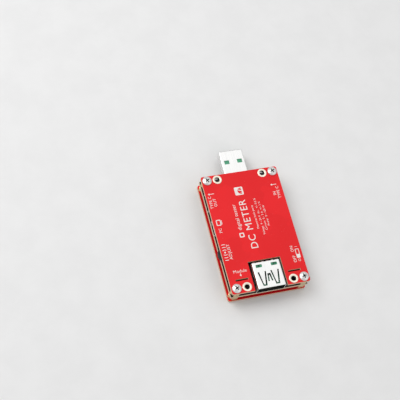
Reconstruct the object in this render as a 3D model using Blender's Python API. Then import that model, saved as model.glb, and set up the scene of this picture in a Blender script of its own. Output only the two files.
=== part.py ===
# USB power meter: two panels on standoffs either side of a main board, with a
# USB-A plug and socket at the ends, and a dial, a switch and ports on the sides.
# It lies on its front panel: rear panel up (+Z), plug towards +Y.
# The origin is at the middle of the box around the meter, at its lowest level.

import bpy
import bmesh
from math import cos, pi, radians, sin
from mathutils import Matrix

mm = 0.001

# Panels
panelWidth = 38.2 * mm
panelLength = 60.0 * mm
panelThickness = 1.2 * mm
panelCorner = 0.9 * mm

# Main board
boardThickness = 1.6 * mm
boardInset = 0.25 * mm

# Fits
seat = 0.05 * mm          # between pieces that rest on each other
runningFit = 0.05 * mm    # radial, a wheel on its pin
slideFit = 0.12 * mm      # each side of a piece that slides

# Screws and standoffs, M2.5
screwInsetX = 2.65 * mm
screwInsetY = 2.5 * mm
threadRadius = 1.25 * mm
screwHoleRoom = 0.15 * mm
panHeadRadius = 2.25 * mm
panHeadHeight = 1.15 * mm
sunkHeadRadius = 2.3 * mm
recessSpan = 2.5 * mm
recessWidth = 0.62 * mm
recessDepth = 0.75 * mm
gripSpace = 0.2 * mm      # between the screw and the stud that meet in a front standoff
hexAcrossFlats = 4.5 * mm

# Terminal eyelets, beside the screws
eyeletPitch = 5.1 * mm    # from the screw to the eyelet
eyeletFlange = 2.2 * mm
eyeletBore = 1.22 * mm
eyeletWall = 0.28 * mm
eyeletLip = 0.12 * mm

# USB-A plug and socket, the standard's sizes
sheet = 0.3 * mm
plugWidth = 12.0 * mm
plugHeight = 4.5 * mm
plugCorner = 0.55 * mm
tipSetback = 0.5 * mm     # of the green insert, behind the shell's tip
plugReach = 13.3 * mm     # from the panels' edge to the tip
plugRoot = 4.7 * mm       # behind the panels' edge
plugWindowWidth = 2.5 * mm
plugWindowLength = 2.0 * mm
plugWindowPitch = 6.5 * mm
plugWindowFromTip = 6.15 * mm
contactPlaces = (-3.5 * mm, -1.0 * mm, 1.0 * mm, 3.5 * mm)
contactWidth = 1.0 * mm
contactThickness = 0.15 * mm
socketWidth = 14.0 * mm
socketHeight = 5.72 * mm
socketLength = 12.6 * mm
socketCorner = 0.8 * mm
socketTongueWidth = 11.1 * mm
socketTongueSetback = 1.9 * mm
insertBlock = 3.0 * mm
notchSideRoom = 1.0 * mm
notchBackRoom = 1.6 * mm
springSlit = 0.36 * mm

# Side ports. The micro-USB port sits midway between the USB-C port and the dial.
sideSetback = 0.15 * mm
usbCWidth = 8.94 * mm
usbCHeight = 3.2 * mm
usbCLength = 7.3 * mm
usbCFromEnd = 12.6 * mm   # from the panels' plug end
microWidth = 7.5 * mm
microHeight = 2.6 * mm
microLength = 5.6 * mm

# Screen, from its window outwards
windowMarginX = 4.9 * mm
windowMarginY = 12.3 * mm
windowPlace = -0.4 * mm
windowCorner = 0.6 * mm
glassBorderX = 1.3 * mm
glassBorderY = 1.8 * mm
glassThickness = 0.8 * mm
frameRim = 1.5 * mm
frameTopRim = 2.25 * mm
frameLowRim = 4.25 * mm
lcdThickness = 2.5 * mm
lcdPadRoom = 0.7 * mm     # behind the screen, for its pad and its ribbon
flexWidth = 12.0 * mm
flexThickness = 0.12 * mm
flexDrop = 2.0 * mm
flexReach = 0.6 * mm
flexTail = 6.0 * mm

# Dial, on the left edge
controlReach = 1.1 * mm   # how far the wheel and the knob stand out of the panels
dialFromEnd = 20.6 * mm   # from the panels' socket end
wheelRadius = 4.0 * mm
wheelThickness = 1.5 * mm
pinRadius = 0.8 * mm
pressTravel = 0.5 * mm
carriageInsetX = 1.3 * mm # of the carriage's ends inside the wheel's rim
carriageInsetY = 1.7 * mm
carriageThickness = 0.4 * mm
housingWall = 0.45 * mm
coverThickness = 0.25 * mm

# Slide switch, on the right edge
switchFromEnd = 14.2 * mm # from the panels' socket end
switchLength = 7.0 * mm
switchDepth = 3.2 * mm
switchHeight = 1.6 * mm
knobLength = 1.3 * mm
knobHeight = 0.8 * mm
knobTravel = 2.0 * mm

# Module sockets, under the slots in the rear panel
slotLength = 6.2 * mm
slotWidth = 0.9 * mm
slotInboard = 3.6 * mm    # from the screw's centre, across
slotAboveScrew = 3.85 * mm
moduleDepth = 2.2 * mm
moduleWall = 0.5 * mm
moduleFloor = 0.5 * mm

roundSteps = 24

# The gaps that the standoffs hold: behind the board the taller of the dial and the
# USB-C port has to fit, and in front of it the screen
dialHeight = housingWall + carriageThickness + wheelThickness + coverThickness + 7 * seat
rearGap = max(usbCHeight, microHeight, dialHeight) + 2 * seat
frontGap = lcdThickness + lcdPadRoom
screwGrip = (frontGap - gripSpace) / 2
screwHoleRadius = threadRadius + screwHoleRoom

# Levels, from the front panel's outer face up
boardBottom = panelThickness + frontGap
boardTop = boardBottom + boardThickness
rearPanelBottom = boardTop + rearGap
rearPanelTop = rearPanelBottom + panelThickness
boardMiddle = boardBottom + boardThickness / 2

panelEdgeX = panelWidth / 2
panelEdgeY = panelLength / 2
screwX = panelEdgeX - screwInsetX
screwY = panelEdgeY - screwInsetY
slotPlaceX = screwX - slotInboard
slotPlaceY = screwY - slotAboveScrew
corners = ((-screwX, -screwY), (screwX, -screwY), (screwX, screwY), (-screwX, screwY))

windowWidth = panelWidth - 2 * windowMarginX
windowLength = panelLength - 2 * windowMarginY
usbCPlace = panelEdgeY - usbCFromEnd
dialPlace = -panelEdgeY + dialFromEnd
switchPlace = -panelEdgeY + switchFromEnd
dialRoom = wheelRadius + slideFit
microPlace = (usbCPlace - usbCWidth / 2 + dialPlace + dialRoom + housingWall) / 2

notchHalf = socketWidth / 2 + notchSideRoom
notchDepth = socketLength + notchBackRoom
turnToX = Matrix.Rotation(radians(90), 4, 'Y')
turnToY = Matrix.Rotation(radians(-90), 4, 'X')


# Materials

def makeMaterial(name, colour, roughness, metallic=0.0):
    material = bpy.data.materials.new(name)
    material.use_nodes = True
    shader = material.node_tree.nodes["Principled BSDF"]
    shader.inputs["Base Color"].default_value = (*colour, 1.0)
    shader.inputs["Roughness"].default_value = roughness
    shader.inputs["Metallic"].default_value = metallic
    material.diffuse_color = (*colour, 1.0)
    return material


# Outlines, each a list of (x, y) points

def circle(radius, x=0.0, y=0.0, steps=roundSteps, phase=0.0):
    turns = [phase + 2 * pi * step / steps for step in range(steps)]
    return [(x + radius * cos(turn), y + radius * sin(turn)) for turn in turns]


def rectangle(width, height, x=0.0, y=0.0):
    halfWidth, halfHeight = width / 2, height / 2
    return [(x - halfWidth, y - halfHeight), (x + halfWidth, y - halfHeight),
            (x + halfWidth, y + halfHeight), (x - halfWidth, y + halfHeight)]


def roundedRectangle(width, height, radius, x=0.0, y=0.0, steps=4):
    points = []
    centres = rectangle(width - 2 * radius, height - 2 * radius, x, y)
    for quarter, (centreX, centreY) in enumerate(centres):
        for step in range(steps + 1):
            turn = pi + (quarter + step / steps) * pi / 2
            points.append((centreX + radius * cos(turn), centreY + radius * sin(turn)))
    return points


def hexagon(acrossFlats):
    return circle(acrossFlats / 2 / cos(pi / 6), steps=6)


# Solids

def addLoop(bm, outline, level):
    verts = [bm.verts.new((x, y, level)) for x, y in outline]
    return [bm.edges.new(pair) for pair in zip(verts, verts[1:] + verts[:1])]


def addPrism(bm, outline, low, high, holes=()):
    edges = addLoop(bm, outline, low)
    for hole in holes:
        edges += addLoop(bm, hole, low)
    filled = bmesh.ops.triangle_fill(bm, edges=edges, use_beauty=True)
    faces = [item for item in filled["geom"] if isinstance(item, bmesh.types.BMFace)]
    raised = bmesh.ops.extrude_face_region(bm, geom=faces)
    verts = [item for item in raised["geom"] if isinstance(item, bmesh.types.BMVert)]
    bmesh.ops.translate(bm, verts=verts, vec=(0, 0, high - low))


def addTurned(bm, profile, closed=False, steps=roundSteps):
    verts = [bm.verts.new((radius, 0, height)) for radius, height in profile]
    edges = [bm.edges.new(pair) for pair in zip(verts, verts[1:])]
    if closed:
        edges.append(bm.edges.new((verts[-1], verts[0])))
    bmesh.ops.spin(bm, geom=verts + edges, angle=2 * pi, steps=steps,
                   axis=(0, 0, 1), cent=(0, 0, 0), use_merge=True)
    bmesh.ops.remove_doubles(bm, verts=bm.verts, dist=1e-7)


def turned(profile, closed=False, steps=roundSteps):
    bm = bmesh.new()
    addTurned(bm, profile, closed, steps)
    return bm


def prism(outline, low, high, holes=(), turn=None):
    bm = bmesh.new()
    addPrism(bm, outline, low, high, holes)
    if turn is not None:
        bmesh.ops.transform(bm, matrix=turn, verts=bm.verts)
    return bm


def block(lowCorner, highCorner):
    (x0, y0, z0), (x1, y1, z1) = lowCorner, highCorner
    return prism([(x0, y0), (x1, y0), (x1, y1), (x0, y1)], z0, z1)


def place(name, bm, material, at=(0, 0, 0), turn=0.0, parent=None, smooth=False):
    bmesh.ops.recalc_face_normals(bm, faces=bm.faces)
    mesh = bpy.data.meshes.new(name)
    bm.to_mesh(mesh)
    bm.free()
    mesh.materials.append(material)
    return placeMesh(name, mesh, at, turn, parent, smooth)


def placeMesh(name, mesh, at, turn=0.0, parent=None, smooth=False):
    item = bpy.data.objects.new(name, mesh)
    bpy.context.scene.collection.objects.link(item)
    item.location = at
    item.rotation_euler = (0, 0, turn)
    item.parent = parent or meter
    if smooth:
        mesh.shade_smooth()
        mesh.set_sharp_from_angle(angle=radians(35))
    return item


def combine(item, tool, operation='DIFFERENCE'):
    # Cuts the tool from the item's mesh, or joins it on, in the item's own axes
    bmesh.ops.recalc_face_normals(tool, faces=tool.faces)
    toolMesh = bpy.data.meshes.new("tool")
    tool.to_mesh(toolMesh)
    tool.free()
    toolItem = bpy.data.objects.new("tool", toolMesh)
    bpy.context.scene.collection.objects.link(toolItem)
    toolItem.location = item.location
    toolItem.rotation_euler = item.rotation_euler
    toolItem.parent = item.parent
    boolean = item.modifiers.new("combine", 'BOOLEAN')
    boolean.operation = operation
    boolean.object = toolItem
    graph = bpy.context.evaluated_depsgraph_get()
    oldMesh = item.data
    item.data = bpy.data.meshes.new_from_object(item.evaluated_get(graph))
    item.modifiers.clear()
    bpy.data.objects.remove(toolItem)
    bpy.data.meshes.remove(toolMesh)
    bpy.data.meshes.remove(oldMesh)


# Panels and main board

def notchedOutline():
    # The rear panel's outline, with the notch for the socket in its lower edge
    outline = roundedRectangle(panelWidth, panelLength, panelCorner)
    firstCorner = outline[:5]
    others = outline[5:]
    notchTop = -panelEdgeY + notchDepth
    notch = [(-notchHalf, -panelEdgeY), (-notchHalf, notchTop),
             (notchHalf, notchTop), (notchHalf, -panelEdgeY)]
    return firstCorner + notch + others


def makeRearPanel():
    holes = [circle(screwHoleRadius, x, y) for x, y in corners]
    barrel = eyeletBore + eyeletWall
    holes += [circle(barrel + seat, x, y) for x, y in eyeletPlaces()]
    holes += [rectangle(slotLength, slotWidth, side * slotPlaceX, -slotPlaceY) for side in (-1, 1)]
    place("rear_panel", prism(notchedOutline(), rearPanelBottom, rearPanelTop, holes), redMask)


def makeFrontPanel():
    window = roundedRectangle(windowWidth, windowLength, windowCorner, 0, windowPlace)
    holes = [circle(screwHoleRadius, x, y) for x, y in corners] + [window]
    outline = roundedRectangle(panelWidth, panelLength, panelCorner)
    panel = place("front_panel", prism(outline, 0, panelThickness, holes), redMask)
    for x, y in corners:
        cone = turned(sunkProfile(seat, 3 * seat))
        bmesh.ops.translate(cone, verts=cone.verts, vec=(x, y, 0))
        combine(panel, cone)


def makeMainBoard():
    width = panelWidth - 2 * boardInset
    length = panelLength - 2 * boardInset
    left, right, low, high = -width / 2, width / 2, -length / 2, length / 2
    notchSide = plugWidth / 2 + slideFit
    notchLow = panelEdgeY - plugRoot - slideFit
    outline = [(left, low), (right, low), (right, high), (notchSide, high), (notchSide, notchLow),
               (-notchSide, notchLow), (-notchSide, high), (left, high)]
    holes = [circle(threadRadius + seat, x, y) for x, y in corners]
    place("main_board", prism(outline, boardBottom, boardTop, holes), blackMask)


# Screws and standoffs

def sunkProfile(growth=0.0, drop=0.0):
    # Flat head, then a 45 degree cone up to the shank. The hole for it is the same
    # shape grown all round, with its cone carried down past the panel's face.
    head = sunkHeadRadius + 1.5 * growth
    neck = threadRadius + growth
    coneTop = seat + head - neck
    top = panelThickness + (seat if growth else screwGrip)
    return [(0, seat - drop), (head + drop, seat - drop), (neck, coneTop), (neck, top), (0, top)]


def cutRecess(screw, level, inward):
    # The tapered cross that a screwdriver fits, sunk from a level at Z towards inward (-1 or 1)
    for turn in (0, pi / 2):
        blade = bmesh.new()
        addPrism(blade, rectangle(recessSpan, recessWidth), -0.2 * mm, recessDepth)
        for vert in blade.verts:
            if vert.co.z > 0:
                vert.co.x *= 0.45
            vert.co.z = level + inward * vert.co.z
        bmesh.ops.transform(blade, matrix=Matrix.Rotation(turn, 4, 'Z'), verts=blade.verts)
        combine(screw, blade)


def makeRearScrews():
    shank = panelThickness + screwGrip
    head = panHeadRadius
    profile = [(0, -shank), (threadRadius - 0.2 * mm, -shank), (threadRadius, -shank + 0.2 * mm),
               (threadRadius, 0), (head, 0), (head, 0.45 * panHeadHeight),
               (0.93 * head, 0.72 * panHeadHeight), (0.75 * head, 0.9 * panHeadHeight),
               (0.4 * head, panHeadHeight), (0, panHeadHeight)]
    for number, (x, y) in enumerate(corners, 1):
        at = (x, y, rearPanelTop + seat)
        screw = place(f"rear_screw_{number}", turned(profile), screwSteel, at, smooth=True)
        cutRecess(screw, panHeadHeight, -1)


def makeFrontScrews():
    for number, (x, y) in enumerate(corners, 1):
        screw = place(f"front_screw_{number}", turned(sunkProfile()), screwSteel, (x, y, 0), smooth=True)
        cutRecess(screw, seat, 1)


def makeStandoff(name, x, y, low, high, stud):
    # Hexagonal, bored through its seat faces, with a stud down through the board
    bore = threadRadius + seat
    bottom, top = low + seat, high - seat
    if stud:
        body = place(name, prism(hexagon(hexAcrossFlats), bottom, top), brassPlate, (x, y, 0))
        studLow = boardBottom - screwGrip + seat
        combine(body, prism(circle(threadRadius), studLow, bottom + 0.2 * mm), 'UNION')
        boreLow = top - screwGrip - 0.3 * mm
        combine(body, prism(circle(bore), boreLow, top + 0.1 * mm))
    else:
        hole = circle(bore)
        place(name, prism(hexagon(hexAcrossFlats), bottom, top, [hole]), brassPlate, (x, y, 0))


def makeStandoffs():
    for number, (x, y) in enumerate(corners, 1):
        makeStandoff(f"rear_standoff_{number}", x, y, boardTop, rearPanelBottom, True)
        makeStandoff(f"front_standoff_{number}", x, y, panelThickness, boardBottom, False)


# Terminal eyelets

def eyeletPlaces():
    inner = screwX - eyeletPitch
    return ((-inner, -screwY), (inner, -screwY), (inner, screwY), (-inner, screwY))


def makeEyelets():
    barrel = eyeletBore + eyeletWall
    low = rearPanelBottom - eyeletLip
    under = rearPanelTop + seat
    profile = [(eyeletBore, low), (barrel, low), (barrel, under), (eyeletFlange, under),
               (eyeletFlange, under + 0.6 * eyeletLip), (eyeletFlange - 0.1 * mm, under + eyeletLip),
               (eyeletBore + 0.1 * mm, under + eyeletLip), (eyeletBore, under + 0.6 * eyeletLip)]
    for number, (x, y) in enumerate(eyeletPlaces(), 1):
        place(f"terminal_eyelet_{number}", turned(profile, closed=True), tinPlate, (x, y, 0), smooth=True)


# USB-A plug

def makePlug():
    # Built about the shell's middle, with the tip at y = 0 and the root behind it
    length = plugReach + plugRoot
    at = (0, panelEdgeY + plugReach, boardMiddle)
    outer = roundedRectangle(plugWidth, plugHeight, plugCorner)
    innerWidth = plugWidth - 2 * sheet
    innerHeight = plugHeight - 2 * sheet
    inner = roundedRectangle(innerWidth, innerHeight, plugCorner - sheet)
    shell = place("usb_a_plug_shell", prism(outer, -length, 0, [inner], turnToY), shellSteel, at)
    for side in (-1, 1):
        x = side * plugWindowPitch / 2
        window = block((x - plugWindowWidth / 2, -plugWindowFromTip - plugWindowLength / 2, -plugHeight),
                       (x + plugWindowWidth / 2, -plugWindowFromTip + plugWindowLength / 2, plugHeight))
        combine(shell, window)

    insertWidth = innerWidth - 2 * seat
    top = innerHeight / 2 - seat
    tongue = roundedRectangle(insertWidth, top, plugCorner - sheet, 0, -top / 2)
    insert = place("usb_a_plug_insert", prism(tongue, -length + seat, -tipSetback, turn=turnToY),
                   greenPlastic, at)
    root = roundedRectangle(insertWidth, 2 * top, plugCorner - sheet)
    combine(insert, prism(root, -length + seat, -length + insertBlock, turn=turnToY), 'UNION')
    for number, x in enumerate(contactPlaces, 1):
        reach = 1.2 * mm if abs(x) > contactWidth * 2 else 2.2 * mm
        strip = block((x - contactWidth / 2, -length + insertBlock + seat, -seat - contactThickness),
                      (x + contactWidth / 2, -reach, -seat))
        place(f"plug_contact_{number}", strip, goldPlate, at)


# USB-A socket

def springOutline(x, rootHalf, tipHalf, rootY, tipY):
    # A slit round three sides of a tapered spring finger, which stays on at its root
    inward = springSlit
    beyond = inward if tipY > rootY else -inward
    return [(x - rootHalf, rootY), (x - tipHalf, tipY), (x + tipHalf, tipY), (x + rootHalf, rootY),
            (x + rootHalf - inward, rootY), (x + tipHalf - inward, tipY - beyond),
            (x - tipHalf + inward, tipY - beyond), (x - rootHalf + inward, rootY)]


def makeSocket():
    # Built about the shell's middle, with the mouth at y = 0 and the back behind it
    at = (0, -panelEdgeY, boardTop + seat + socketHeight / 2)
    outer = roundedRectangle(socketWidth, socketHeight, socketCorner)
    innerWidth = socketWidth - 2 * sheet
    innerHeight = socketHeight - 2 * sheet
    inner = roundedRectangle(innerWidth, innerHeight, socketCorner - sheet)
    shell = place("usb_a_socket_shell", prism(outer, 0, socketLength, [inner], turnToY), shellSteel, at)
    low, high = socketHeight / 2 - 2 * sheet, socketHeight / 2 + sheet
    fingerRoot = 0.63 * socketLength
    for x in (-3.1 * mm, 3.1 * mm):
        combine(shell, prism(springOutline(x, 1.9 * mm, 0.75 * mm, fingerRoot, 1.1 * mm), low, high))
    combine(shell, prism(springOutline(0, 1.1 * mm, 0.5 * mm, 3.0 * mm, 6.6 * mm), low, high))
    for x in (-3.7 * mm, 3.7 * mm):
        combine(shell, prism(rectangle(3.2 * mm, 1.4 * mm, x, socketLength - 1.7 * mm), low, high))

    blockFront = socketLength - insertBlock
    root = roundedRectangle(innerWidth - 2 * seat, innerHeight - 2 * seat, socketCorner - sheet)
    insert = place("usb_a_socket_insert", prism(root, blockFront, socketLength - seat, turn=turnToY),
                   greenPlastic, at)
    tongueHalf = socketTongueWidth / 2
    plugInside = plugHeight / 2 - sheet
    tongueTop = -2 * seat
    tongue = block((-tongueHalf, socketTongueSetback, -plugInside + seat), (tongueHalf, blockFront + seat, tongueTop))
    combine(insert, tongue, 'UNION')
    for number, x in enumerate(contactPlaces, 1):
        level = tongueTop + seat
        strip = block((x - contactWidth / 2, socketTongueSetback + 0.8 * mm, level),
                      (x + contactWidth / 2, blockFront - seat, level + contactThickness))
        place(f"socket_contact_{number}", strip, goldPlate, at)


# Side ports, each built with its mouth at x = 0 and its back towards +X

def makeUsbC(name, side):
    turn = 0.0 if side < 0 else pi
    at = (side * (panelEdgeX - sideSetback), usbCPlace, boardTop + seat + usbCHeight / 2)
    outer = roundedRectangle(usbCHeight, usbCWidth, usbCHeight / 2 - seat, steps=6)
    innerHeight = usbCHeight - 2 * sheet
    innerWidth = usbCWidth - 2 * sheet
    inner = roundedRectangle(innerHeight, innerWidth, innerHeight / 2 - seat, steps=6)
    place(f"{name}_shell", prism(outer, 0, usbCLength, [inner], turnToX), shellSteel, at, turn)
    core = roundedRectangle(innerHeight - 2 * seat, innerWidth - 2 * seat, innerHeight / 2 - 2 * seat, steps=6)
    tongue = place(f"{name}_tongue", prism(core, usbCLength - 2.2 * mm, usbCLength - seat, turn=turnToX),
                   blackPlastic, at, turn)
    blade = block((0.9 * mm, -3.35 * mm, -0.35 * mm), (usbCLength - 1.5 * mm, 3.35 * mm, 0.35 * mm))
    combine(tongue, blade, 'UNION')


def microOutline(shrink):
    # Flat side down, upper corners cut back, as the plug is keyed
    halfWidth = microWidth / 2 - shrink
    halfHeight = microHeight / 2 - shrink
    shoulder = 0.25 * microHeight
    slope = 0.9 * mm
    return [(halfHeight, -halfWidth + slope), (halfHeight, halfWidth - slope),
            (halfHeight - shoulder, halfWidth - slope), (-0.3 * mm, halfWidth), (-halfHeight, halfWidth),
            (-halfHeight, -halfWidth), (-0.3 * mm, -halfWidth), (halfHeight - shoulder, -halfWidth + slope)]


def makeMicroUsb():
    at = (-panelEdgeX + sideSetback, microPlace, boardTop + seat + microHeight / 2)
    shell = prism(microOutline(0), 0, microLength, [microOutline(sheet)], turnToX)
    place("micro_usb_shell", shell, shellSteel, at)
    core = prism(microOutline(sheet + seat), microLength - 2.0 * mm, microLength - seat, turn=turnToX)
    tongue = place("micro_usb_tongue", core, blackPlastic, at)
    blade = block((0.7 * mm, -1.9 * mm, -0.1 * mm), (microLength - 1.5 * mm, 1.9 * mm, 0.5 * mm))
    combine(tongue, blade, 'UNION')


# Screen, between the front panel and the board

def makeScreen():
    low = panelThickness + seat
    high = low + lcdThickness
    glassWidth = windowWidth + 2 * glassBorderX
    glassLength = windowLength + 2 * glassBorderY
    frameWidth = glassWidth + 2 * frameRim
    frameLow = windowPlace - glassLength / 2 - frameLowRim
    frameHigh = windowPlace + glassLength / 2 + frameTopRim
    outline = roundedRectangle(frameWidth, frameHigh - frameLow, windowCorner, 0, (frameLow + frameHigh) / 2)
    frame = place("lcd_frame", prism(outline, low, high), blackPlastic)
    pocket = rectangle(glassWidth + 2 * seat, glassLength + 2 * seat, 0, windowPlace)
    combine(frame, prism(pocket, low - glassThickness, low + glassThickness + 2 * seat))
    glass = rectangle(glassWidth, glassLength, 0, windowPlace)
    place("lcd_glass", prism(glass, low + seat, low + seat + glassThickness), darkGlass)
    place("lcd_flex", prism(flexOutline(frameLow - seat), -flexWidth / 2, flexWidth / 2, turn=turnToX), flexFilm)


def flexOutline(startY):
    # The ribbon from the side: out of the frame's lower end, round, and back under the board
    upper = boardBottom - seat
    middle = upper - flexDrop / 2
    bendY = startY - flexReach
    tailY = startY + flexTail
    path = [(startY, upper - flexDrop)]
    inner = [(startY, upper - flexDrop + flexThickness)]
    for step in range(9):
        turn = -pi / 2 - pi * step / 8
        outerRadius = flexDrop / 2
        innerRadius = outerRadius - flexThickness
        path.append((bendY + outerRadius * cos(turn), middle + outerRadius * sin(turn)))
        inner.append((bendY + innerRadius * cos(turn), middle + innerRadius * sin(turn)))
    path.append((tailY, upper))
    inner.append((tailY, upper - flexThickness))
    return [(-level, y) for y, level in path + inner[::-1]]


# Thumb dial: a wheel that turns a little each way, on a carriage that can be pressed in

def makeDial():
    wheelX = -panelEdgeX - controlReach + wheelRadius
    left = -panelEdgeX + sideSetback
    right = wheelX + wheelRadius + pressTravel + slideFit + housingWall
    floorLow = boardTop + seat
    floorHigh = floorLow + housingWall
    carriageLow = floorHigh + seat
    carriageHigh = carriageLow + carriageThickness
    wheelLow = carriageHigh + seat
    wheelHigh = wheelLow + wheelThickness
    wallTop = wheelHigh + 3 * seat

    outline = rectangle(right - left, 2 * (dialRoom + housingWall), (left + right) / 2, dialPlace)
    housing = place("dial_housing", prism(outline, floorLow, wallTop), blackPlastic)
    hollow = block((left - 1.0 * mm, dialPlace - dialRoom, floorHigh),
                   (right - housingWall, dialPlace + dialRoom, wallTop + 1.0 * mm))
    combine(housing, hollow)
    cover = prism(outline, wallTop + seat, wallTop + seat + coverThickness)
    place("dial_cover", cover, shellSteel)

    press = bpy.data.objects.new("press_axis", None)
    bpy.context.scene.collection.objects.link(press)
    press.location = (wheelX, dialPlace, 0)
    press.parent = meter
    plate = rectangle(2 * (wheelRadius - carriageInsetX), 2 * (wheelRadius - carriageInsetY))
    carriage = place("dial_carriage",
                     prism(plate, carriageLow, carriageHigh),
                     blackPlastic, parent=press)
    combine(carriage, prism(circle(pinRadius), carriageLow + seat, wheelHigh + seat), 'UNION')
    place("dial_wheel", wheelPrism(wheelLow, wheelHigh), blackPlastic, parent=press, smooth=False)


def wheelPrism(low, high):
    # Grip teeth on the thumb's side, plain behind
    outline = []
    steps = 72
    for step in range(steps):
        turn = 2 * pi * step / steps
        onGrip = cos(turn) < -0.2
        radius = wheelRadius - (0.22 * mm if onGrip and step % 3 == 1 else 0)
        outline.append((radius * cos(turn), radius * sin(turn)))
    return prism(outline, low, high, [circle(pinRadius + runningFit)])


# Slide switch

def makeSwitch():
    right = panelEdgeX - sideSetback
    left = right - switchDepth
    low = boardTop + seat
    high = low + switchHeight
    body = place("switch_body", block((left, switchPlace - switchLength / 2, low),
                                      (right, switchPlace + switchLength / 2, high)), shellSteel)
    slotLow = low + (switchHeight - knobHeight) / 2 - slideFit
    slotHigh = slotLow + knobHeight + 2 * slideFit
    slotHalf = (knobLength + knobTravel) / 2 + slideFit
    slotBack = left + 0.6 * mm
    combine(body, block((slotBack, switchPlace - slotHalf, slotLow),
                        (right + 1.0 * mm, switchPlace + slotHalf, slotHigh)))
    knobY = switchPlace - knobTravel / 2
    knobLow = slotLow + slideFit
    knob = block((slotBack + slideFit, -knobLength / 2, knobLow),
                 (panelEdgeX + controlReach, knobLength / 2, knobLow + knobHeight))
    place("switch_knob", knob, blackPlastic, (0, knobY, 0))


# Module sockets and the larger parts on the board

def makeModuleSockets():
    low = boardTop + seat
    high = rearPanelBottom - 2 * seat
    for name, side in (("module_socket_left", -1), ("module_socket_right", 1)):
        at = (side * slotPlaceX, -slotPlaceY, 0)
        body = prism(rectangle(slotLength + 2 * moduleWall, moduleDepth), low, high)
        socket = place(name, body, blackPlastic, at)
        combine(socket, prism(rectangle(slotLength, slotWidth), low + moduleFloor, high + 1.0 * mm))


def makeBoardParts():
    # name, width, length, height, x, y, material
    parts = (("microcontroller", 7.0, 7.0, 1.0, 0.0, 3.0, blackPlastic),
             ("protocol_chip", 5.0, 5.0, 0.8, 3.5, 15.0, blackPlastic),
             ("shunt_resistor", 3.2, 6.4, 0.7, -5.5, -7.5, blackPlastic),
             ("inductor", 5.0, 5.0, 2.4, 8.5, -6.5, ferrite),
             ("crystal", 2.5, 3.2, 0.8, 6.6, 3.0, shellSteel),
             ("regulator", 2.5, 4.5, 1.5, -6.0, 13.5, blackPlastic))
    for name, width, length, height, x, y, material in parts:
        low = boardTop + seat
        body = prism(rectangle(width * mm, length * mm), low, low + height * mm)
        place(name, body, material, (x * mm, y * mm, 0))


for item in list(bpy.data.objects):
    bpy.data.objects.remove(item)

redMask = makeMaterial("redMask", (0.62, 0.02, 0.03), 0.35)
blackMask = makeMaterial("blackMask", (0.02, 0.03, 0.03), 0.4)
screwSteel = makeMaterial("screwSteel", (0.78, 0.78, 0.77), 0.28, 1.0)
shellSteel = makeMaterial("shellSteel", (0.82, 0.82, 0.81), 0.25, 1.0)
brassPlate = makeMaterial("brassPlate", (0.72, 0.58, 0.28), 0.3, 1.0)
tinPlate = makeMaterial("tinPlate", (0.85, 0.83, 0.76), 0.32, 1.0)
goldPlate = makeMaterial("goldPlate", (0.85, 0.62, 0.22), 0.25, 1.0)
greenPlastic = makeMaterial("greenPlastic", (0.06, 0.36, 0.2), 0.45)
blackPlastic = makeMaterial("blackPlastic", (0.015, 0.015, 0.016), 0.5)
darkGlass = makeMaterial("darkGlass", (0.01, 0.012, 0.02), 0.08)
flexFilm = makeMaterial("flexFilm", (0.45, 0.2, 0.04), 0.4)
ferrite = makeMaterial("ferrite", (0.12, 0.12, 0.13), 0.6)

# Everything hangs on this empty, which puts the plug's tip and the panels' far edge
# equally far from the origin
meter = bpy.data.objects.new("meter", None)
bpy.context.scene.collection.objects.link(meter)
meter.location = (0, -plugReach / 2, 0)

makeRearPanel()
makeFrontPanel()
makeMainBoard()
makeRearScrews()
makeFrontScrews()
makeStandoffs()
makeEyelets()
makePlug()
makeSocket()
makeUsbC("usb_c_in", 1)
makeUsbC("usb_c_out", -1)
makeMicroUsb()
makeScreen()
makeDial()
makeSwitch()
makeModuleSockets()
makeBoardParts()
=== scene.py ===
from math import asin, cos, degrees, pi, radians, sin
from random import Random

import bmesh
import bpy
from mathutils import Matrix, Vector


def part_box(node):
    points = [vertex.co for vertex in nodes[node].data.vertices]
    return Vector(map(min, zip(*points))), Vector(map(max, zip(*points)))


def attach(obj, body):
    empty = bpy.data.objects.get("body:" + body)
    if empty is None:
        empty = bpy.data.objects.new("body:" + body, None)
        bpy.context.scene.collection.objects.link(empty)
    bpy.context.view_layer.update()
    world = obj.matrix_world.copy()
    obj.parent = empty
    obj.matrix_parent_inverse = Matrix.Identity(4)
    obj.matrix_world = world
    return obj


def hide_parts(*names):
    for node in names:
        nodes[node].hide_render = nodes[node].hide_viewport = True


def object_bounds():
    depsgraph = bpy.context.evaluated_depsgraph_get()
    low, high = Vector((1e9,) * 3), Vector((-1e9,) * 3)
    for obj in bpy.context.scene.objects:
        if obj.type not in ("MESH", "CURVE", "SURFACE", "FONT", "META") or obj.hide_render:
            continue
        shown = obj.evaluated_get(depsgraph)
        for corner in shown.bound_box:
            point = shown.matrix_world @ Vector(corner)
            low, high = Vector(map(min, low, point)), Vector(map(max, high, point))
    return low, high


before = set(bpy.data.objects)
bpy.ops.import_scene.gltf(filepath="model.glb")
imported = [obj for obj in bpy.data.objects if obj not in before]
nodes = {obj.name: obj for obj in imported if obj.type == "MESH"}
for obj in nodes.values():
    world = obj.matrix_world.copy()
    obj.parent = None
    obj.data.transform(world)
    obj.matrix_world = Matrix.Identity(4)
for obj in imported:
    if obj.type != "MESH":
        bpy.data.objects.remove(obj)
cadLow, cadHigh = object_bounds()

# USB power meter: red panels on standoffs, lying on its front, plug towards +Y.
# CAD solids that are already right in size are copied and given real edges; what
# repeats is set out by one Geometry Nodes tree.

mm = 0.001
meterBody = "meter"


# ---- Places, all read from the frame

def middle(node):
    low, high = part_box(node)
    return (low + high) / 2


def sizeOf(node):
    low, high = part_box(node)
    return high - low


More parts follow.
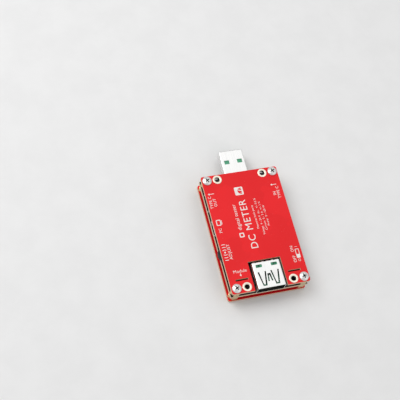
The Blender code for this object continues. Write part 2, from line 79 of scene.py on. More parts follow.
panelLow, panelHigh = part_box("rear_panel")
panelTop = panelHigh.z
panelCentre = (panelLow + panelHigh) / 2
boardLow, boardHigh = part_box("main_board")
boardTop, boardBottom = boardHigh.z, boardLow.z
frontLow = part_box("front_panel")[0]


# ---- Making and finishing meshes

def newObject(name, mesh):
    item = bpy.data.objects.new(name, mesh)
    bpy.context.scene.collection.objects.link(item)
    return item


def meshObject(name, bm, fixNormals=True):
    if fixNormals:
        bmesh.ops.recalc_face_normals(bm, faces=bm.faces)
    mesh = bpy.data.meshes.new(name)
    bm.to_mesh(mesh)
    bm.free()
    return newObject(name, mesh)


def bakeModifiers(item):
    # The shape with its modifiers, as a plain mesh
    graph = bpy.context.evaluated_depsgraph_get()
    oldMesh = item.data
    item.data = bpy.data.meshes.new_from_object(item.evaluated_get(graph))
    item.modifiers.clear()
    item.data.name = item.name
    bpy.data.meshes.remove(oldMesh)
    return item


def removeObject(item):
    mesh = item.data
    bpy.data.objects.remove(item)
    bpy.data.meshes.remove(mesh)


def roundEdges(item, width, steps=2, angle=30):
    # A small bevel on real corners, with shading that keeps flat faces flat
    if width > 0:
        bevel = item.modifiers.new("edges", 'BEVEL')
        bevel.width = width
        bevel.segments = steps
        bevel.limit_method = 'ANGLE'
        bevel.angle_limit = radians(angle)
        bevel.use_clamp_overlap = True
    item.data.shade_smooth()
    item.data.set_sharp_from_angle(angle=radians(50))
    weighted = item.modifiers.new("flats", 'WEIGHTED_NORMAL')
    weighted.keep_sharp = True
    return bakeModifiers(item)


def boolean(item, tool, operation='DIFFERENCE', selfCrossing=False):
    cutter = meshObject("tool", tool)
    step = item.modifiers.new("cut", 'BOOLEAN')
    step.operation = operation
    step.solver = 'EXACT' if selfCrossing else 'MANIFOLD'
    step.use_self = selfCrossing
    step.object = cutter
    bakeModifiers(item)
    removeObject(cutter)
    return item


def finishPiece(item, material, body=meterBody, replaced=()):
    item.data.materials.clear()
    item.data.materials.append(material)
    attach(item, body)
    if replaced:
        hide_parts(*replaced)
    return item


def cadCopy(node, name):
    # The CAD solid's shape as one welded mesh
    bm = bmesh.new()
    bm.from_mesh(nodes[node].data)
    bmesh.ops.remove_doubles(bm, verts=bm.verts, dist=1e-7)
    return meshObject(name, bm, fixNormals=False)


def markPaintedShade(item, test):
    # Notes the faces inside holes, on which the metal materials paint shade: a darker, duller colour in place
    # of the shadow there
    mark = item.data.attributes.new("inside", 'FLOAT', 'FACE')
    for face in item.data.polygons:
        mark.data[face.index].value = 1.0 if test(face.center, face.normal) else 0.0


def refined(node, material, width, steps=2, body=meterBody):
    item = roundEdges(cadCopy(node, "fine_" + node), width * mm, steps)
    return finishPiece(item, material, body, [node])


# ---- Outlines and simple solids

def circle(radius, x=0.0, y=0.0, steps=32, phase=0.0):
    turns = [phase + 2 * pi * step / steps for step in range(steps)]
    return [(x + radius * cos(turn), y + radius * sin(turn)) for turn in turns]


def rectangle(width, height, x=0.0, y=0.0):
    return [(x - width / 2, y - height / 2), (x + width / 2, y - height / 2),
            (x + width / 2, y + height / 2), (x - width / 2, y + height / 2)]


def roundedRectangle(width, height, radius, x=0.0, y=0.0, steps=5):
    points = []
    corners = rectangle(width - 2 * radius, height - 2 * radius, x, y)
    for quarter, (centreX, centreY) in enumerate(corners):
        for step in range(steps + 1):
            turn = pi + (quarter + step / steps) * pi / 2
            points.append((centreX + radius * cos(turn), centreY + radius * sin(turn)))
    return points


def addPrism(bm, outline, low, high, holes=()):
    edges = []
    for loop in [outline, *holes]:
        verts = [bm.verts.new((x, y, low)) for x, y in loop]
        edges += [bm.edges.new(pair) for pair in zip(verts, verts[1:] + verts[:1])]
    filled = bmesh.ops.triangle_fill(bm, edges=edges, use_beauty=True)
    faces = [item for item in filled["geom"] if isinstance(item, bmesh.types.BMFace)]
    raised = bmesh.ops.extrude_face_region(bm, geom=faces)
    verts = [item for item in raised["geom"] if isinstance(item, bmesh.types.BMVert)]
    bmesh.ops.translate(bm, verts=verts, vec=(0, 0, high - low))


def prism(outline, low, high, holes=(), matrix=None):
    bm = bmesh.new()
    addPrism(bm, outline, low, high, holes)
    if matrix is not None:
        bmesh.ops.transform(bm, matrix=matrix, verts=bm.verts)
    return bm


def block(low, high):
    outline = [(low[0], low[1]), (high[0], low[1]), (high[0], high[1]), (low[0], high[1])]
    return prism(outline, low[2], high[2])


def turnedMesh(profile, steps=48, closed=False):
    # Profile of (radius, height), spun round Z
    bm = bmesh.new()
    verts = [bm.verts.new((radius, 0, height)) for radius, height in profile]
    edges = [bm.edges.new(pair) for pair in zip(verts, verts[1:])]
    if closed:
        edges.append(bm.edges.new((verts[-1], verts[0])))
    bmesh.ops.spin(bm, geom=verts + edges, angle=2 * pi, steps=steps,
                   axis=(0, 0, 1), cent=(0, 0, 0), use_merge=True)
    bmesh.ops.remove_doubles(bm, verts=bm.verts, dist=1e-8)
    return bm


def arcPoints(centre, radius, start, end, steps):
    # From start to end degrees, both included
    turns = [radians(start + (end - start) * step / steps) for step in range(steps + 1)]
    return [(centre[0] + radius * cos(turn), centre[1] + radius * sin(turn)) for turn in turns]


def loftRings(rings, closed):
    # Rings of the same number of points, joined in order; closed also joins last to first
    bm = bmesh.new()
    made = [[bm.verts.new(point) for point in ring] for ring in rings]
    pairs = list(zip(made, made[1:]))
    if closed:
        pairs.append((made[-1], made[0]))
    for ring, following in pairs:
        count = len(ring)
        for step in range(count):
            ahead = (step + 1) % count
            bm.faces.new((ring[step], ring[ahead], following[ahead], following[step]))
    if not closed:
        bm.faces.new(made[0])
        bm.faces.new(made[-1])
    return bm


def joinInto(bm, piece):
    bmesh.ops.recalc_face_normals(piece, faces=piece.faces)
    part = bpy.data.meshes.new("part")
    piece.to_mesh(part)
    piece.free()
    bm.from_mesh(part)
    bpy.data.meshes.remove(part)


def strokeOutline(points, width):
    # A line of that width through the points, with square ends
    left, right = [], []
    count = len(points)
    for index, (x, y) in enumerate(points):
        before = points[max(index - 1, 0)]
        after = points[min(index + 1, count - 1)]
        along = Vector((after[0] - before[0], after[1] - before[1])).normalized()
        side = Vector((-along.y, along.x)) * width / 2
        left.append((x + side.x, y + side.y))
        right.append((x - side.x, y - side.y))
    return left + right[::-1]


# Drawn in (y, z) and run along X, or drawn in (x, z) and run along Y
alongX = Matrix(((0, 0, 1, 0), (1, 0, 0, 0), (0, 1, 0, 0), (0, 0, 0, 1)))
alongY = Matrix(((1, 0, 0, 0), (0, 0, 1, 0), (0, 1, 0, 0), (0, 0, 0, 1)))


def stripSolid(points, width, low, high, matrix=None):
    # A bent strip of that width through the points, drawn flat and raised from low to high
    outline = strokeOutline(points, width)
    rings = []
    for index in range(len(points)):
        left, right = outline[index], outline[-1 - index]
        rings.append([(*left, low), (*right, low), (*right, high), (*left, high)])
    bm = loftRings(rings, closed=False)
    if matrix is not None:
        bmesh.ops.transform(bm, matrix=matrix, verts=bm.verts)
    return bm


# ---- Nodes, for the Geometry Nodes trees and for the materials

def newTree(name, kind, inputs, outputs):
    # inputs: (label, kind of socket, start value if it has one); outputs: (label, kind of socket)
    tree = bpy.data.node_groups.new(name, kind)
    for label, socketKind, *start in inputs:
        socket = tree.interface.new_socket(label, in_out='INPUT', socket_type=socketKind)
        if start:
            socket.default_value = start[0]
    for label, socketKind in outputs:
        tree.interface.new_socket(label, in_out='OUTPUT', socket_type=socketKind)
    return tree, tree.nodes.new('NodeGroupInput').outputs, tree.nodes.new('NodeGroupOutput').inputs


def feed(tree, socket, item):
    # Links an item that is a socket, and otherwise sets it as the value
    if isinstance(item, bpy.types.NodeSocket):
        tree.links.new(item, socket)
    elif socket.type == 'RGBA':
        socket.default_value = (*item, 1.0)
    else:
        socket.default_value = item


def addNode(tree, kind, settings=None, **inputs):
    # Inputs are named as the node names them, with _ for a space
    step = tree.nodes.new(kind)
    for name, value in (settings or {}).items():
        setattr(step, name, value)
    for label, item in inputs.items():
        feed(tree, step.inputs[label.replace("_", " ")], item)
    return step


def mathNode(tree, operation, *values):
    step = addNode(tree, 'ShaderNodeMath', {"operation": operation})
    for socket, item in zip(step.inputs, values):
        feed(tree, socket, item)
    return step.outputs[0]


def vectorMath(tree, operation, first, second):
    step = addNode(tree, 'ShaderNodeVectorMath', {"operation": operation})
    feed(tree, step.inputs[0], first)
    feed(tree, step.inputs[1], second)
    return step.outputs[0]


# ---- The Geometry Nodes tree that sets out what repeats

def makeRepeatTree():
    # Puts the template on every point, turned as the point's "turn" says
    tree, inputs, result = newTree("repeatOnPoints", 'GeometryNodeTree', [
        ("Points", 'NodeSocketGeometry'), ("Template", 'NodeSocketObject'),
        ("Material", 'NodeSocketMaterial'), ("Random Turn", 'NodeSocketFloat'),
        ("Seed", 'NodeSocketInt')], [("Geometry", 'NodeSocketGeometry')])
    template = addNode(tree, 'GeometryNodeObjectInfo', Object=inputs["Template"], As_Instance=True)
    turn = addNode(tree, 'GeometryNodeInputNamedAttribute', {"data_type": 'FLOAT_VECTOR'}, Name="turn")
    spread = addNode(tree, 'FunctionNodeRandomValue', {"data_type": 'FLOAT'}, Seed=inputs["Seed"])
    limits = [socket for socket in spread.inputs if socket.type == 'VALUE']
    feed(tree, limits[0], mathNode(tree, 'MULTIPLY', inputs["Random Turn"], -1.0))
    feed(tree, limits[1], inputs["Random Turn"])
    amount = [socket for socket in spread.outputs if socket.type == 'VALUE'][0]
    spin = addNode(tree, 'ShaderNodeCombineXYZ', Z=amount)
    total = vectorMath(tree, 'ADD', turn.outputs["Attribute"], spin.outputs["Vector"])
    rotation = addNode(tree, 'FunctionNodeEulerToRotation', Euler=total)
    place = addNode(tree, 'GeometryNodeInstanceOnPoints', Points=inputs["Points"],
                    Instance=template.outputs["Geometry"], Rotation=rotation.outputs["Rotation"])
    paintOutput(tree, place.outputs["Instances"], inputs, result)
    return tree


def paintOutput(tree, shape, inputs, result):
    # Instances made real and given the material, as the tree's result
    realize = addNode(tree, 'GeometryNodeRealizeInstances', Geometry=shape)
    paint = addNode(tree, 'GeometryNodeSetMaterial', Geometry=realize.outputs["Geometry"],
                    Material=inputs["Material"])
    feed(tree, result["Geometry"], paint.outputs["Geometry"])


repeatTree = makeRepeatTree()


def bakeTree(item, tree, values):
    # Runs the tree on the item with these values and keeps the result as a plain mesh
    step = item.modifiers.new("shape", 'NODES')
    step.node_group = tree
    for socket in tree.interface.items_tree:
        if socket.item_type == 'SOCKET' and socket.in_out == 'INPUT' and socket.name in values:
            step[socket.identifier] = values[socket.name]
    return bakeModifiers(item)


def repeatPiece(name, template, places, material, randomTurn=0.0, seed=1,
                body=meterBody, replaced=()):
    # places: (x, y, z) or (x, y, z, turn about X, about Y, about Z)
    mesh = bpy.data.meshes.new(name)
    mesh.from_pydata([place[:3] for place in places], [], [])
    turns = mesh.attributes.new("turn", 'FLOAT_VECTOR', 'POINT')
    for index, place in enumerate(places):
        turns.data[index].vector = place[3:6] if len(place) > 3 else (0, 0, 0)
    item = bakeTree(newObject(name, mesh), repeatTree, {
        "Template": template, "Material": material, "Random Turn": randomTurn, "Seed": seed})
    if "turn" in item.data.attributes:
        item.data.attributes.remove(item.data.attributes["turn"])
    removeObject(template)
    return finishPiece(item, material, body, replaced)


def fourOf(stem, level):
    # The names of a piece's four copies, and their places at one level
    names = [f"{stem}_{number}" for number in range(1, 5)]
    return names, [(*middle(name).xy, level) for name in names]


# ---- Shader groups that the materials share

def ramp(tree, value, low, high, toLow=0.0, toHigh=1.0):
    # Value from low to high, carried to toLow to toHigh; numbers or sockets
    return addNode(tree, 'ShaderNodeMapRange', {"clamp": True}, Value=value, From_Min=low, From_Max=high,
                   To_Min=toLow, To_Max=toHigh).outputs["Result"]


def mixColour(tree, mask, first, second):
    step = addNode(tree, 'ShaderNodeMix', {"data_type": 'RGBA'})
    sockets = [step.inputs[0]] + [socket for socket in step.inputs if socket.type == 'RGBA']
    for socket, item in zip(sockets, (mask, first, second)):
        feed(tree, socket, item)
    return [socket for socket in step.outputs if socket.type == 'RGBA'][0]


def noiseValue(tree, vector, scale, detail=3.0, roughness=0.5):
    return addNode(tree, 'ShaderNodeTexNoise', Vector=vector, Scale=scale, Detail=detail,
                   Roughness=roughness).outputs["Fac"]


def waveValue(tree, vector, direction, scale, distortion=0.0, detail=2.0):
    return addNode(tree, 'ShaderNodeTexWave', {"bands_direction": direction}, Vector=vector, Scale=scale,
                   Distortion=distortion, Detail=detail).outputs["Fac"]


def objectCoords(tree):
    return tree.nodes.new('ShaderNodeTexCoord').outputs["Object"]


def normalZ(tree):
    normal = tree.nodes.new('ShaderNodeNewGeometry').outputs["Normal"]
    return addNode(tree, 'ShaderNodeSeparateXYZ', Vector=normal).outputs["Z"]


def newShaderGroup(name, inputs, outputs):
    group, starts, results = newTree(name, 'ShaderNodeTree', inputs,
                                     [(label, 'NodeSocketFloat') for label in outputs])
    return group, starts, results, objectCoords(group)


def makeGrainGroup():
    # Fine grain at one scale: a height for bump and a mask for colour
    group, inputs, outputs, coords = newShaderGroup(
        "fineGrain", [("Scale", 'NodeSocketFloat', 2000.0)], ("Height", "Mask"))
    feed(group, outputs["Height"], noiseValue(group, coords, inputs["Scale"], 4.0, 0.6))
    larger = mathNode(group, 'MULTIPLY', inputs["Scale"], 0.13)
    mask = noiseValue(group, coords, larger, 5.0, 0.6)
    feed(group, outputs["Mask"], ramp(group, mask, 0.38, 0.62))
    return group


def makeSmudgeGroup():
    # Roughness that drifts where the surface has been handled
    group, inputs, outputs, coords = newShaderGroup(
        "handled", [("Low", 'NodeSocketFloat', 0.25), ("High", 'NodeSocketFloat', 0.4),
                    ("Scale", 'NodeSocketFloat', 120.0)], ("Roughness",))
    broad = noiseValue(group, coords, inputs["Scale"], 3.0, 0.55)
    fine = noiseValue(group, coords, mathNode(group, 'MULTIPLY', inputs["Scale"], 11.0), 4.0, 0.65)
    both = mathNode(group, 'ADD', mathNode(group, 'MULTIPLY', broad, 0.7),
                    mathNode(group, 'MULTIPLY', fine, 0.3))
    feed(group, outputs["Roughness"], ramp(group, both, 0.35, 0.65, inputs["Low"], inputs["High"]))
    return group


def makeBrushedGroup():
    # Rolling lines of sheet metal, drawn out along one axis by Stretch
    group, inputs, outputs, coords = newShaderGroup(
        "rolledSheet", [("Stretch", 'NodeSocketVector', (3000.0, 90.0, 3000.0))], ("Height", "Mask"))
    scaled = vectorMath(group, 'MULTIPLY', coords, inputs["Stretch"])
    lines = noiseValue(group, scaled, 1.0, 3.0, 0.7)
    feed(group, outputs["Height"], lines)
    feed(group, outputs["Mask"], ramp(group, lines, 0.3, 0.7))
    return group


def makeDustGroup():
    # Sparse pale specks on faces that look up
    group, inputs, outputs, coords = newShaderGroup(
        "dustSpecks", [("Amount", 'NodeSocketFloat', 0.3)], ("Mask",))
    specks = addNode(group, 'ShaderNodeTexVoronoi', Vector=coords, Scale=900.0)
    dots = ramp(group, specks.outputs["Distance"], 0.04, 0.1, 1.0, 0.0)
    patches = ramp(group, noiseValue(group, coords, 260.0), 0.5, 0.68)
    facing = ramp(group, normalZ(group), 0.6, 0.95)
    shown = mathNode(group, 'MULTIPLY', mathNode(group, 'MULTIPLY', dots, patches), facing)
    feed(group, outputs["Mask"], mathNode(group, 'MULTIPLY', shown, inputs["Amount"]))
    return group


grainGroup = makeGrainGroup()
smudgeGroup = makeSmudgeGroup()
brushedGroup = makeBrushedGroup()
dustGroup = makeDustGroup()
print("shader groups ready")


# ---- Materials

# Painted shade: the dark colour given to metal faces down in holes, in place of their shadow
paintedShadeColour = (0.045, 0.045, 0.042)     # of metal faces down in holes
insideRoughness = 0.6


def useGroup(tree, group, **values):
    return addNode(tree, 'ShaderNodeGroup', {"node_tree": group}, **values)


def handled(tree, roughness, share, scale=120.0):
    # Roughness from a little under the value up to a share of it
    return useGroup(tree, smudgeGroup, Low=roughness * 0.85, High=roughness * share,
                    Scale=scale).outputs["Roughness"]


def newMaterial(name, metallic=0.0, specular=0.5):
    material = bpy.data.materials.new(name)
    material.use_nodes = True
    tree = material.node_tree
    shader = tree.nodes["Principled BSDF"]
    shader.inputs["Metallic"].default_value = metallic
    shader.inputs["Specular IOR Level"].default_value = specular
    return material, tree, shader


def setSurface(tree, shader, colour, roughness, height=None, distance=0.0, strength=0.5):
    feed(tree, shader.inputs["Base Color"], colour)
    feed(tree, shader.inputs["Roughness"], roughness)
    if height is not None:
        bump = addNode(tree, 'ShaderNodeBump', Strength=strength, Distance=distance, Height=height)
        feed(tree, shader.inputs["Normal"], bump.outputs["Normal"])


def paintShadeInside(tree, colour, roughness):
    # Painted shade: darker, and duller, where the mesh says the face is inside a hole
    mark = addNode(tree, 'ShaderNodeAttribute', {"attribute_name": "inside"}).outputs["Fac"]
    return mixColour(tree, mark, colour, paintedShadeColour), ramp(tree, mark, 0.0, 1.0, roughness, insideRoughness)


def plainMaterial(name, colour, roughness, metallic=0.0, grain=2000.0, variation=0.12,
                  bump=0.00001, dust=0.0):
    # One colour with fine grain, handling marks and a little dust; on metals, painted shade inside holes
    material, tree, shader = newMaterial(name, metallic)
    grainStep = useGroup(tree, grainGroup, Scale=grain)
    darker = tuple(channel * (1 - variation) for channel in colour)
    painted = mixColour(tree, grainStep.outputs["Mask"], darker, colour)
    if dust > 0:
        specks = useGroup(tree, dustGroup, Amount=dust)
        painted = mixColour(tree, specks.outputs["Mask"], painted, (0.75, 0.73, 0.7))
    rough = handled(tree, roughness, 1.2)
    # Metals get painted shade on faces inside holes
    if metallic > 0:
        painted, rough = paintShadeInside(tree, painted, rough)
    setSurface(tree, shader, painted, rough, grainStep.outputs["Height"], bump)
    return material


def sheetMaterial(name, colour, roughness, stretch):
    # Bright plated sheet with its rolling lines, and painted shade inside holes
    material, tree, shader = newMaterial(name, 1.0)
    lines = useGroup(tree, brushedGroup, Stretch=stretch)
    duller = tuple(channel * 0.9 for channel in colour)
    painted = mixColour(tree, lines.outputs["Mask"], duller, colour)
    # Painted shade on faces inside holes
    painted, rough = paintShadeInside(tree, painted, handled(tree, roughness, 1.3, 160.0))
    setSurface(tree, shader, painted, rough, lines.outputs["Height"], 0.000004, 0.4)
    return material


boardLook = {
    "red": (0.82, 0.006, 0.010),
    "redOverCopper": (0.72, 0.004, 0.007),
    "black": (0.016, 0.018, 0.020),
    "blackOverCopper": (0.030, 0.033, 0.036),
    "laminate": (0.86, 0.68, 0.50),
    "laminateDark": (0.62, 0.42, 0.26),
    "dust": (0.8, 0.75, 0.7),
    "roughness": 0.38, "cutRoughness": 0.8, "specular": 0.3, "copperTone": 0.35,
    "weaveCount": 2600.0,      # glass cloth threads per metre
    "layerCount": 1500.0,      # laminate layers
}


def maskMaterial(name, bare, overCopper, pourScale):
    # Solder mask over copper and glass cloth; the cut edges show the laminate
    look = boardLook
    material, tree, shader = newMaterial(name, specular=look["specular"])
    coords = objectCoords(tree)
    threads = [waveValue(tree, coords, way, look["weaveCount"] / 2, 1.2) for way in ('X', 'Y')]
    cloth = mathNode(tree, 'MAXIMUM', *threads)

    # Copper under the mask: broad pours with cleared ground between them
    copper = ramp(tree, noiseValue(tree, coords, pourScale, 2.0), 0.495, 0.51)
    broad = ramp(tree, noiseValue(tree, coords, 60.0, 3.0), 0.3, 0.7, 0.0, 0.4)
    tone = mathNode(tree, 'ADD', mathNode(tree, 'MULTIPLY', copper, look["copperTone"]), broad)
    face = mixColour(tree, tone, bare, overCopper)
    face = mixColour(tree, mathNode(tree, 'MULTIPLY', cloth, 0.06), face, overCopper)
    specks = useGroup(tree, dustGroup, Amount=0.25)
    face = mixColour(tree, specks.outputs["Mask"], face, look["dust"])

    # Laminate layers on faces that stand upright
    upright = ramp(tree, mathNode(tree, 'ABSOLUTE', normalZ(tree)), 0.25, 0.6, 1.0, 0.0)
    layers = waveValue(tree, coords, 'Z', look["layerCount"], 2.5, 3.0)
    edge = mixColour(tree, layers, look["laminateDark"], look["laminate"])
    smooth = handled(tree, look["roughness"], 1.25, 70.0)
    height = mathNode(tree, 'ADD', copper, mathNode(tree, 'MULTIPLY', cloth, 0.12))
    setSurface(tree, shader, mixColour(tree, upright, face, edge),
               ramp(tree, upright, 0.0, 1.0, smooth, look["cutRoughness"]), height, 0.000012, 0.25)
    return material


redMask = maskMaterial("redMask", boardLook["red"], boardLook["redOverCopper"], 70.0)
blackMask = maskMaterial("blackMask", boardLook["black"], boardLook["blackOverCopper"], 260.0)

# Name: colour, roughness, metallic, grain per metre, variation, bump height, dust
paints = {name: plainMaterial(name, *values) for name, values in {
    "whiteInk": ((0.86, 0.82, 0.78), 0.6, 0.0, 5000.0, 0.1, 0.000006),
    "screwSteel": ((0.88, 0.88, 0.86), 0.27, 0.75, 3500.0, 0.08, 0.000003),
    "tinPlate": ((0.92, 0.86, 0.72), 0.3, 0.85, 2600.0, 0.12, 0.000006),
    "solder": ((0.74, 0.74, 0.73), 0.3, 1.0, 4200.0, 0.15, 0.000008),
    "goldPlate": ((0.89, 0.66, 0.27), 0.22, 1.0, 4000.0, 0.1, 0.000002),
    "brassHex": ((0.80, 0.63, 0.33), 0.27, 1.0, 2400.0, 0.14, 0.000004),
    "greenPlastic": ((0.075, 0.37, 0.205), 0.42, 0.0, 2400.0, 0.16, 0.00001),
    "blackPlastic": ((0.018, 0.018, 0.019), 0.48, 0.0, 5200.0, 0.35, 0.000012, 0.12),
    "chipPlastic": ((0.028, 0.028, 0.03), 0.58, 0.0, 6500.0, 0.3, 0.000014),
    "ferriteGrey": ((0.10, 0.10, 0.105), 0.62, 0.0, 3000.0, 0.25, 0.00002),
    "capTan": ((0.42, 0.27, 0.15), 0.42, 0.0, 4000.0, 0.18),
}.items()}
whiteInk, screwSteel, tinPlate, solder, goldPlate, brassHex = (
    paints[name] for name in ("whiteInk", "screwSteel", "tinPlate", "solder", "goldPlate", "brassHex"))
greenPlastic, blackPlastic, chipPlastic, ferriteGrey, capTan = (
    paints[name] for name in ("greenPlastic", "blackPlastic", "chipPlastic", "ferriteGrey", "capTan"))
shellSteel = sheetMaterial("shellSteel", (0.88, 0.88, 0.87), 0.27, (2600.0, 70.0, 2600.0))
portSteel = sheetMaterial("portSteel", (0.80, 0.80, 0.79), 0.25, (70.0, 2600.0, 2600.0))


def flexMaterial():
    # Fine copper lines under a clear film
    material, tree, shader = newMaterial("flexFilm")
    film, copper = (0.42, 0.19, 0.035), (0.62, 0.33, 0.09)
    mask = ramp(tree, waveValue(tree, objectCoords(tree), 'X', 700.0), 0.45, 0.6)
    grain = useGroup(tree, grainGroup, Scale=1500.0).outputs["Mask"]
    painted = mixColour(tree, mask, film, copper)
    painted = mixColour(tree, mathNode(tree, 'MULTIPLY', grain, 0.15), painted, copper)
    rough = useGroup(tree, smudgeGroup, Low=0.28, High=0.455).outputs["Roughness"]
    setSurface(tree, shader, painted, rough, mask, 0.000015, 0.4)
    return material


def screenMaterial():
    # Dark glass; the cell that lights up shows as a slightly greener field in a black border
    material, tree, shader = newMaterial("screenGlass", specular=0.6)
    low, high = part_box("lcd_glass")
    split = addNode(tree, 'ShaderNodeSeparateXYZ', Vector=objectCoords(tree))
    border, fade = 1.9 * mm, 0.05 * mm
    masks = []
    for axis, start, end in (("X", low.x, high.x), ("Y", low.y, high.y)):
        centre, half = (start + end) / 2, (end - start) / 2 - border
        away = mathNode(tree, 'ABSOLUTE', mathNode(tree, 'SUBTRACT', split.outputs[axis], centre))
        masks.append(ramp(tree, away, half - fade, half, 1.0, 0.0))
    grain = useGroup(tree, grainGroup, Scale=700.0).outputs["Mask"]
    lit = mixColour(tree, grain, (0.022, 0.027, 0.030), (0.026, 0.032, 0.034))
    rough = useGroup(tree, smudgeGroup, Low=0.05, High=0.13, Scale=180.0).outputs["Roughness"]
    painted = mixColour(tree, mathNode(tree, 'MULTIPLY', *masks), (0.004, 0.004, 0.005), lit)
    setSurface(tree, shader, painted, rough)
    return material


flexFilm = flexMaterial()
screenGlass = screenMaterial()
print("materials ready")


# ---- Panels and main board

panelEdges = {"bevel": 0.09, "steps": 3}
inkLook = {"thickness": 0.022, "sunk": 0.004, "line": 0.3, "arrowLine": 0.28, "arrowHead": (0.8, 0.55)}


def makePanels():
    look = panelEdges
    refined("rear_panel", redMask, look["bevel"], look["steps"])
    refined("main_board", blackMask, look["bevel"], look["steps"])
    # The front's print, not its bare face, is the lowest level, so the face sits higher by the ink
    panel = cadCopy("front_panel", "fine_front_panel")
    for vert in panel.data.vertices:
        if vert.co.z < frontLow.z + 0.01 * mm:
            vert.co.z += inkLook["thickness"] * mm
    roundEdges(panel, look["bevel"] * mm, look["steps"])
    finishPiece(panel, redMask, meterBody, ["front_panel"])


makePanels()
print("panels made")


# ---- Screws

screwLook = {
    "headRound": 0.32,         # share of the head's height that its upright rim takes
    "slotSpan": 0.62,          # of the head's width
    "slotWidth": 0.6,          # millimetres
    "slotDepth": 0.78,
    "turn": 0.6,               # radians, how unevenly the crosses were left
    "shank": 1.25, "seatGap": 0.05, "edge": 0.03,
    "domeShare": 0.55,         # of the head's height that its dome rises
}


def crossTool(span, width, depth, level, towards):
    # Two crossing blades that narrow towards the bottom of the recess
    tool = bmesh.new()
    for turn in (0, pi / 2):
        blade = prism(rectangle(span, width), -0.2 * mm, depth)
        for vert in blade.verts:
            if vert.co.z > 0:
                vert.co.x *= 0.42
                vert.co.y *= 0.8
            vert.co.z = level + towards * vert.co.z
        bmesh.ops.transform(blade, matrix=Matrix.Rotation(turn, 4, 'Z'), verts=blade.verts)
        joinInto(tool, blade)
    return tool


def cutCross(screw, radius, level, towards):
    # The cross recess, from the level of the head's face
    look = screwLook
    span = look["slotSpan"] * 2 * radius
    tool = crossTool(span, look["slotWidth"] * mm, look["slotDepth"] * mm, level, towards)
    boolean(screw, tool, selfCrossing=True)
    roundEdges(screw, look["edge"] * mm, 2, 40)
    return span


def makeRearScrews():
    look = screwLook
    low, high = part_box("rear_screw_1")
    radius = (high.x - low.x) / 2
    seat = panelTop + look["seatGap"] * mm
    height = high.z - seat
    shank = look["shank"] * mm
    rim = look["headRound"] * height
    rise = height * look["domeShare"]
    domeRadius = (radius ** 2 + rise ** 2) / (2 * rise)

    def domeLevel(away):
        return height + (domeRadius ** 2 - away ** 2) ** 0.5 - domeRadius

    steps = 8
    across = [radius * 0.93 * (1 - step / steps) for step in range(steps + 1)]
    tip = low.z - seat
    profile = [(0, tip), (shank * 0.85, tip), (shank, tip + 0.2 * mm), (shank, 0),
               (radius - 0.08 * mm, 0), (radius, 0.08 * mm), (radius, rim),
               *((away, domeLevel(away)) for away in across)]
    screw = meshObject("screwTemplate", turnedMesh(profile, 56))
    span = cutCross(screw, radius, height, -1)

    # Faces down in the cross recess under the dome get painted shade
    def underDome(centre, normal):
        away = (centre.x ** 2 + centre.y ** 2) ** 0.5
        return away < 0.52 * span and 0 < centre.z < domeLevel(away) - 0.05 * mm

    markPaintedShade(screw, underDome)
    names, places = fourOf("rear_screw", seat)
    repeatPiece("rear_screws", screw, places, screwSteel, look["turn"], 3, replaced=names)


def makeFrontScrews():
    # Sunk heads, with their faces level with the panel's
    look = screwLook
    low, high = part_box("front_screw_1")
    radius = (high.x - low.x) / 2
    shank = look["shank"] * mm
    face = low.z
    profile = [(0, 0), (radius - 0.05 * mm, 0), (radius, 0.05 * mm), (shank, radius - shank),
               (shank, high.z - face), (0, high.z - face)]
    screw = meshObject("sunkTemplate", turnedMesh(profile, 56))
    cutCross(screw, radius, 0, 1)

    # Faces down in the cross recess get painted shade
    def inCross(centre, normal):
        away = centre.xy.length
        return (0.05 * mm < centre.z < 0.95 * mm and away < 0.6 * radius
                and away < radius - centre.z - 0.1 * mm)

    markPaintedShade(screw, inCross)
    names, places = fourOf("front_screw", face)
    repeatPiece("front_screws", screw, places, screwSteel, look["turn"], 8, replaced=names)


makeRearScrews()
makeFrontScrews()
print("screws made")


# ---- Terminal eyelets

eyeletLook = {"bore": 1.18, "barrel": 1.5, "flangeRound": 0.05, "seatGap": 0.02}


def makeEyelets():
    low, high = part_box("terminal_eyelet_1")
    outer = (high.x - low.x) / 2
    look = eyeletLook
    bore, barrel = look["bore"] * mm, look["barrel"] * mm
    height = high.z - low.z
    flange = panelTop + look["seatGap"] * mm - low.z
    soft = look["flangeRound"] * mm
    profile = [(bore + 0.06 * mm, 0), (barrel, 0), (barrel, flange), (outer, flange),
               (outer, height - soft), (outer - soft, height - 0.3 * soft),
               (outer - 3 * soft, height), (bore + 4 * soft, height),
               (bore + 1.6 * soft, height - soft), (bore + 0.4 * soft, height - 3 * soft),
               (bore, height - 6 * soft)]
    ring = meshObject("eyeletTemplate", turnedMesh(profile, 64, closed=True))
    roundEdges(ring, 0)
    # Faces deep in the bore get painted shade
    deep = height - 8 * soft
    markPaintedShade(ring, lambda centre, normal: centre.z < deep and centre.xy.length < bore + 0.1 * mm)
    names, places = fourOf("terminal_eyelet", low.z)
    repeatPiece("terminal_eyelets", ring, places, tinPlate, replaced=names)


makeEyelets()
print("eyelets made")


# ---- Standoffs

standoffLook = {"chamfer": 0.22, "acrossFlats": 4.5, "bore": 1.3, "edge": 0.025, "seatGap": 0.05}


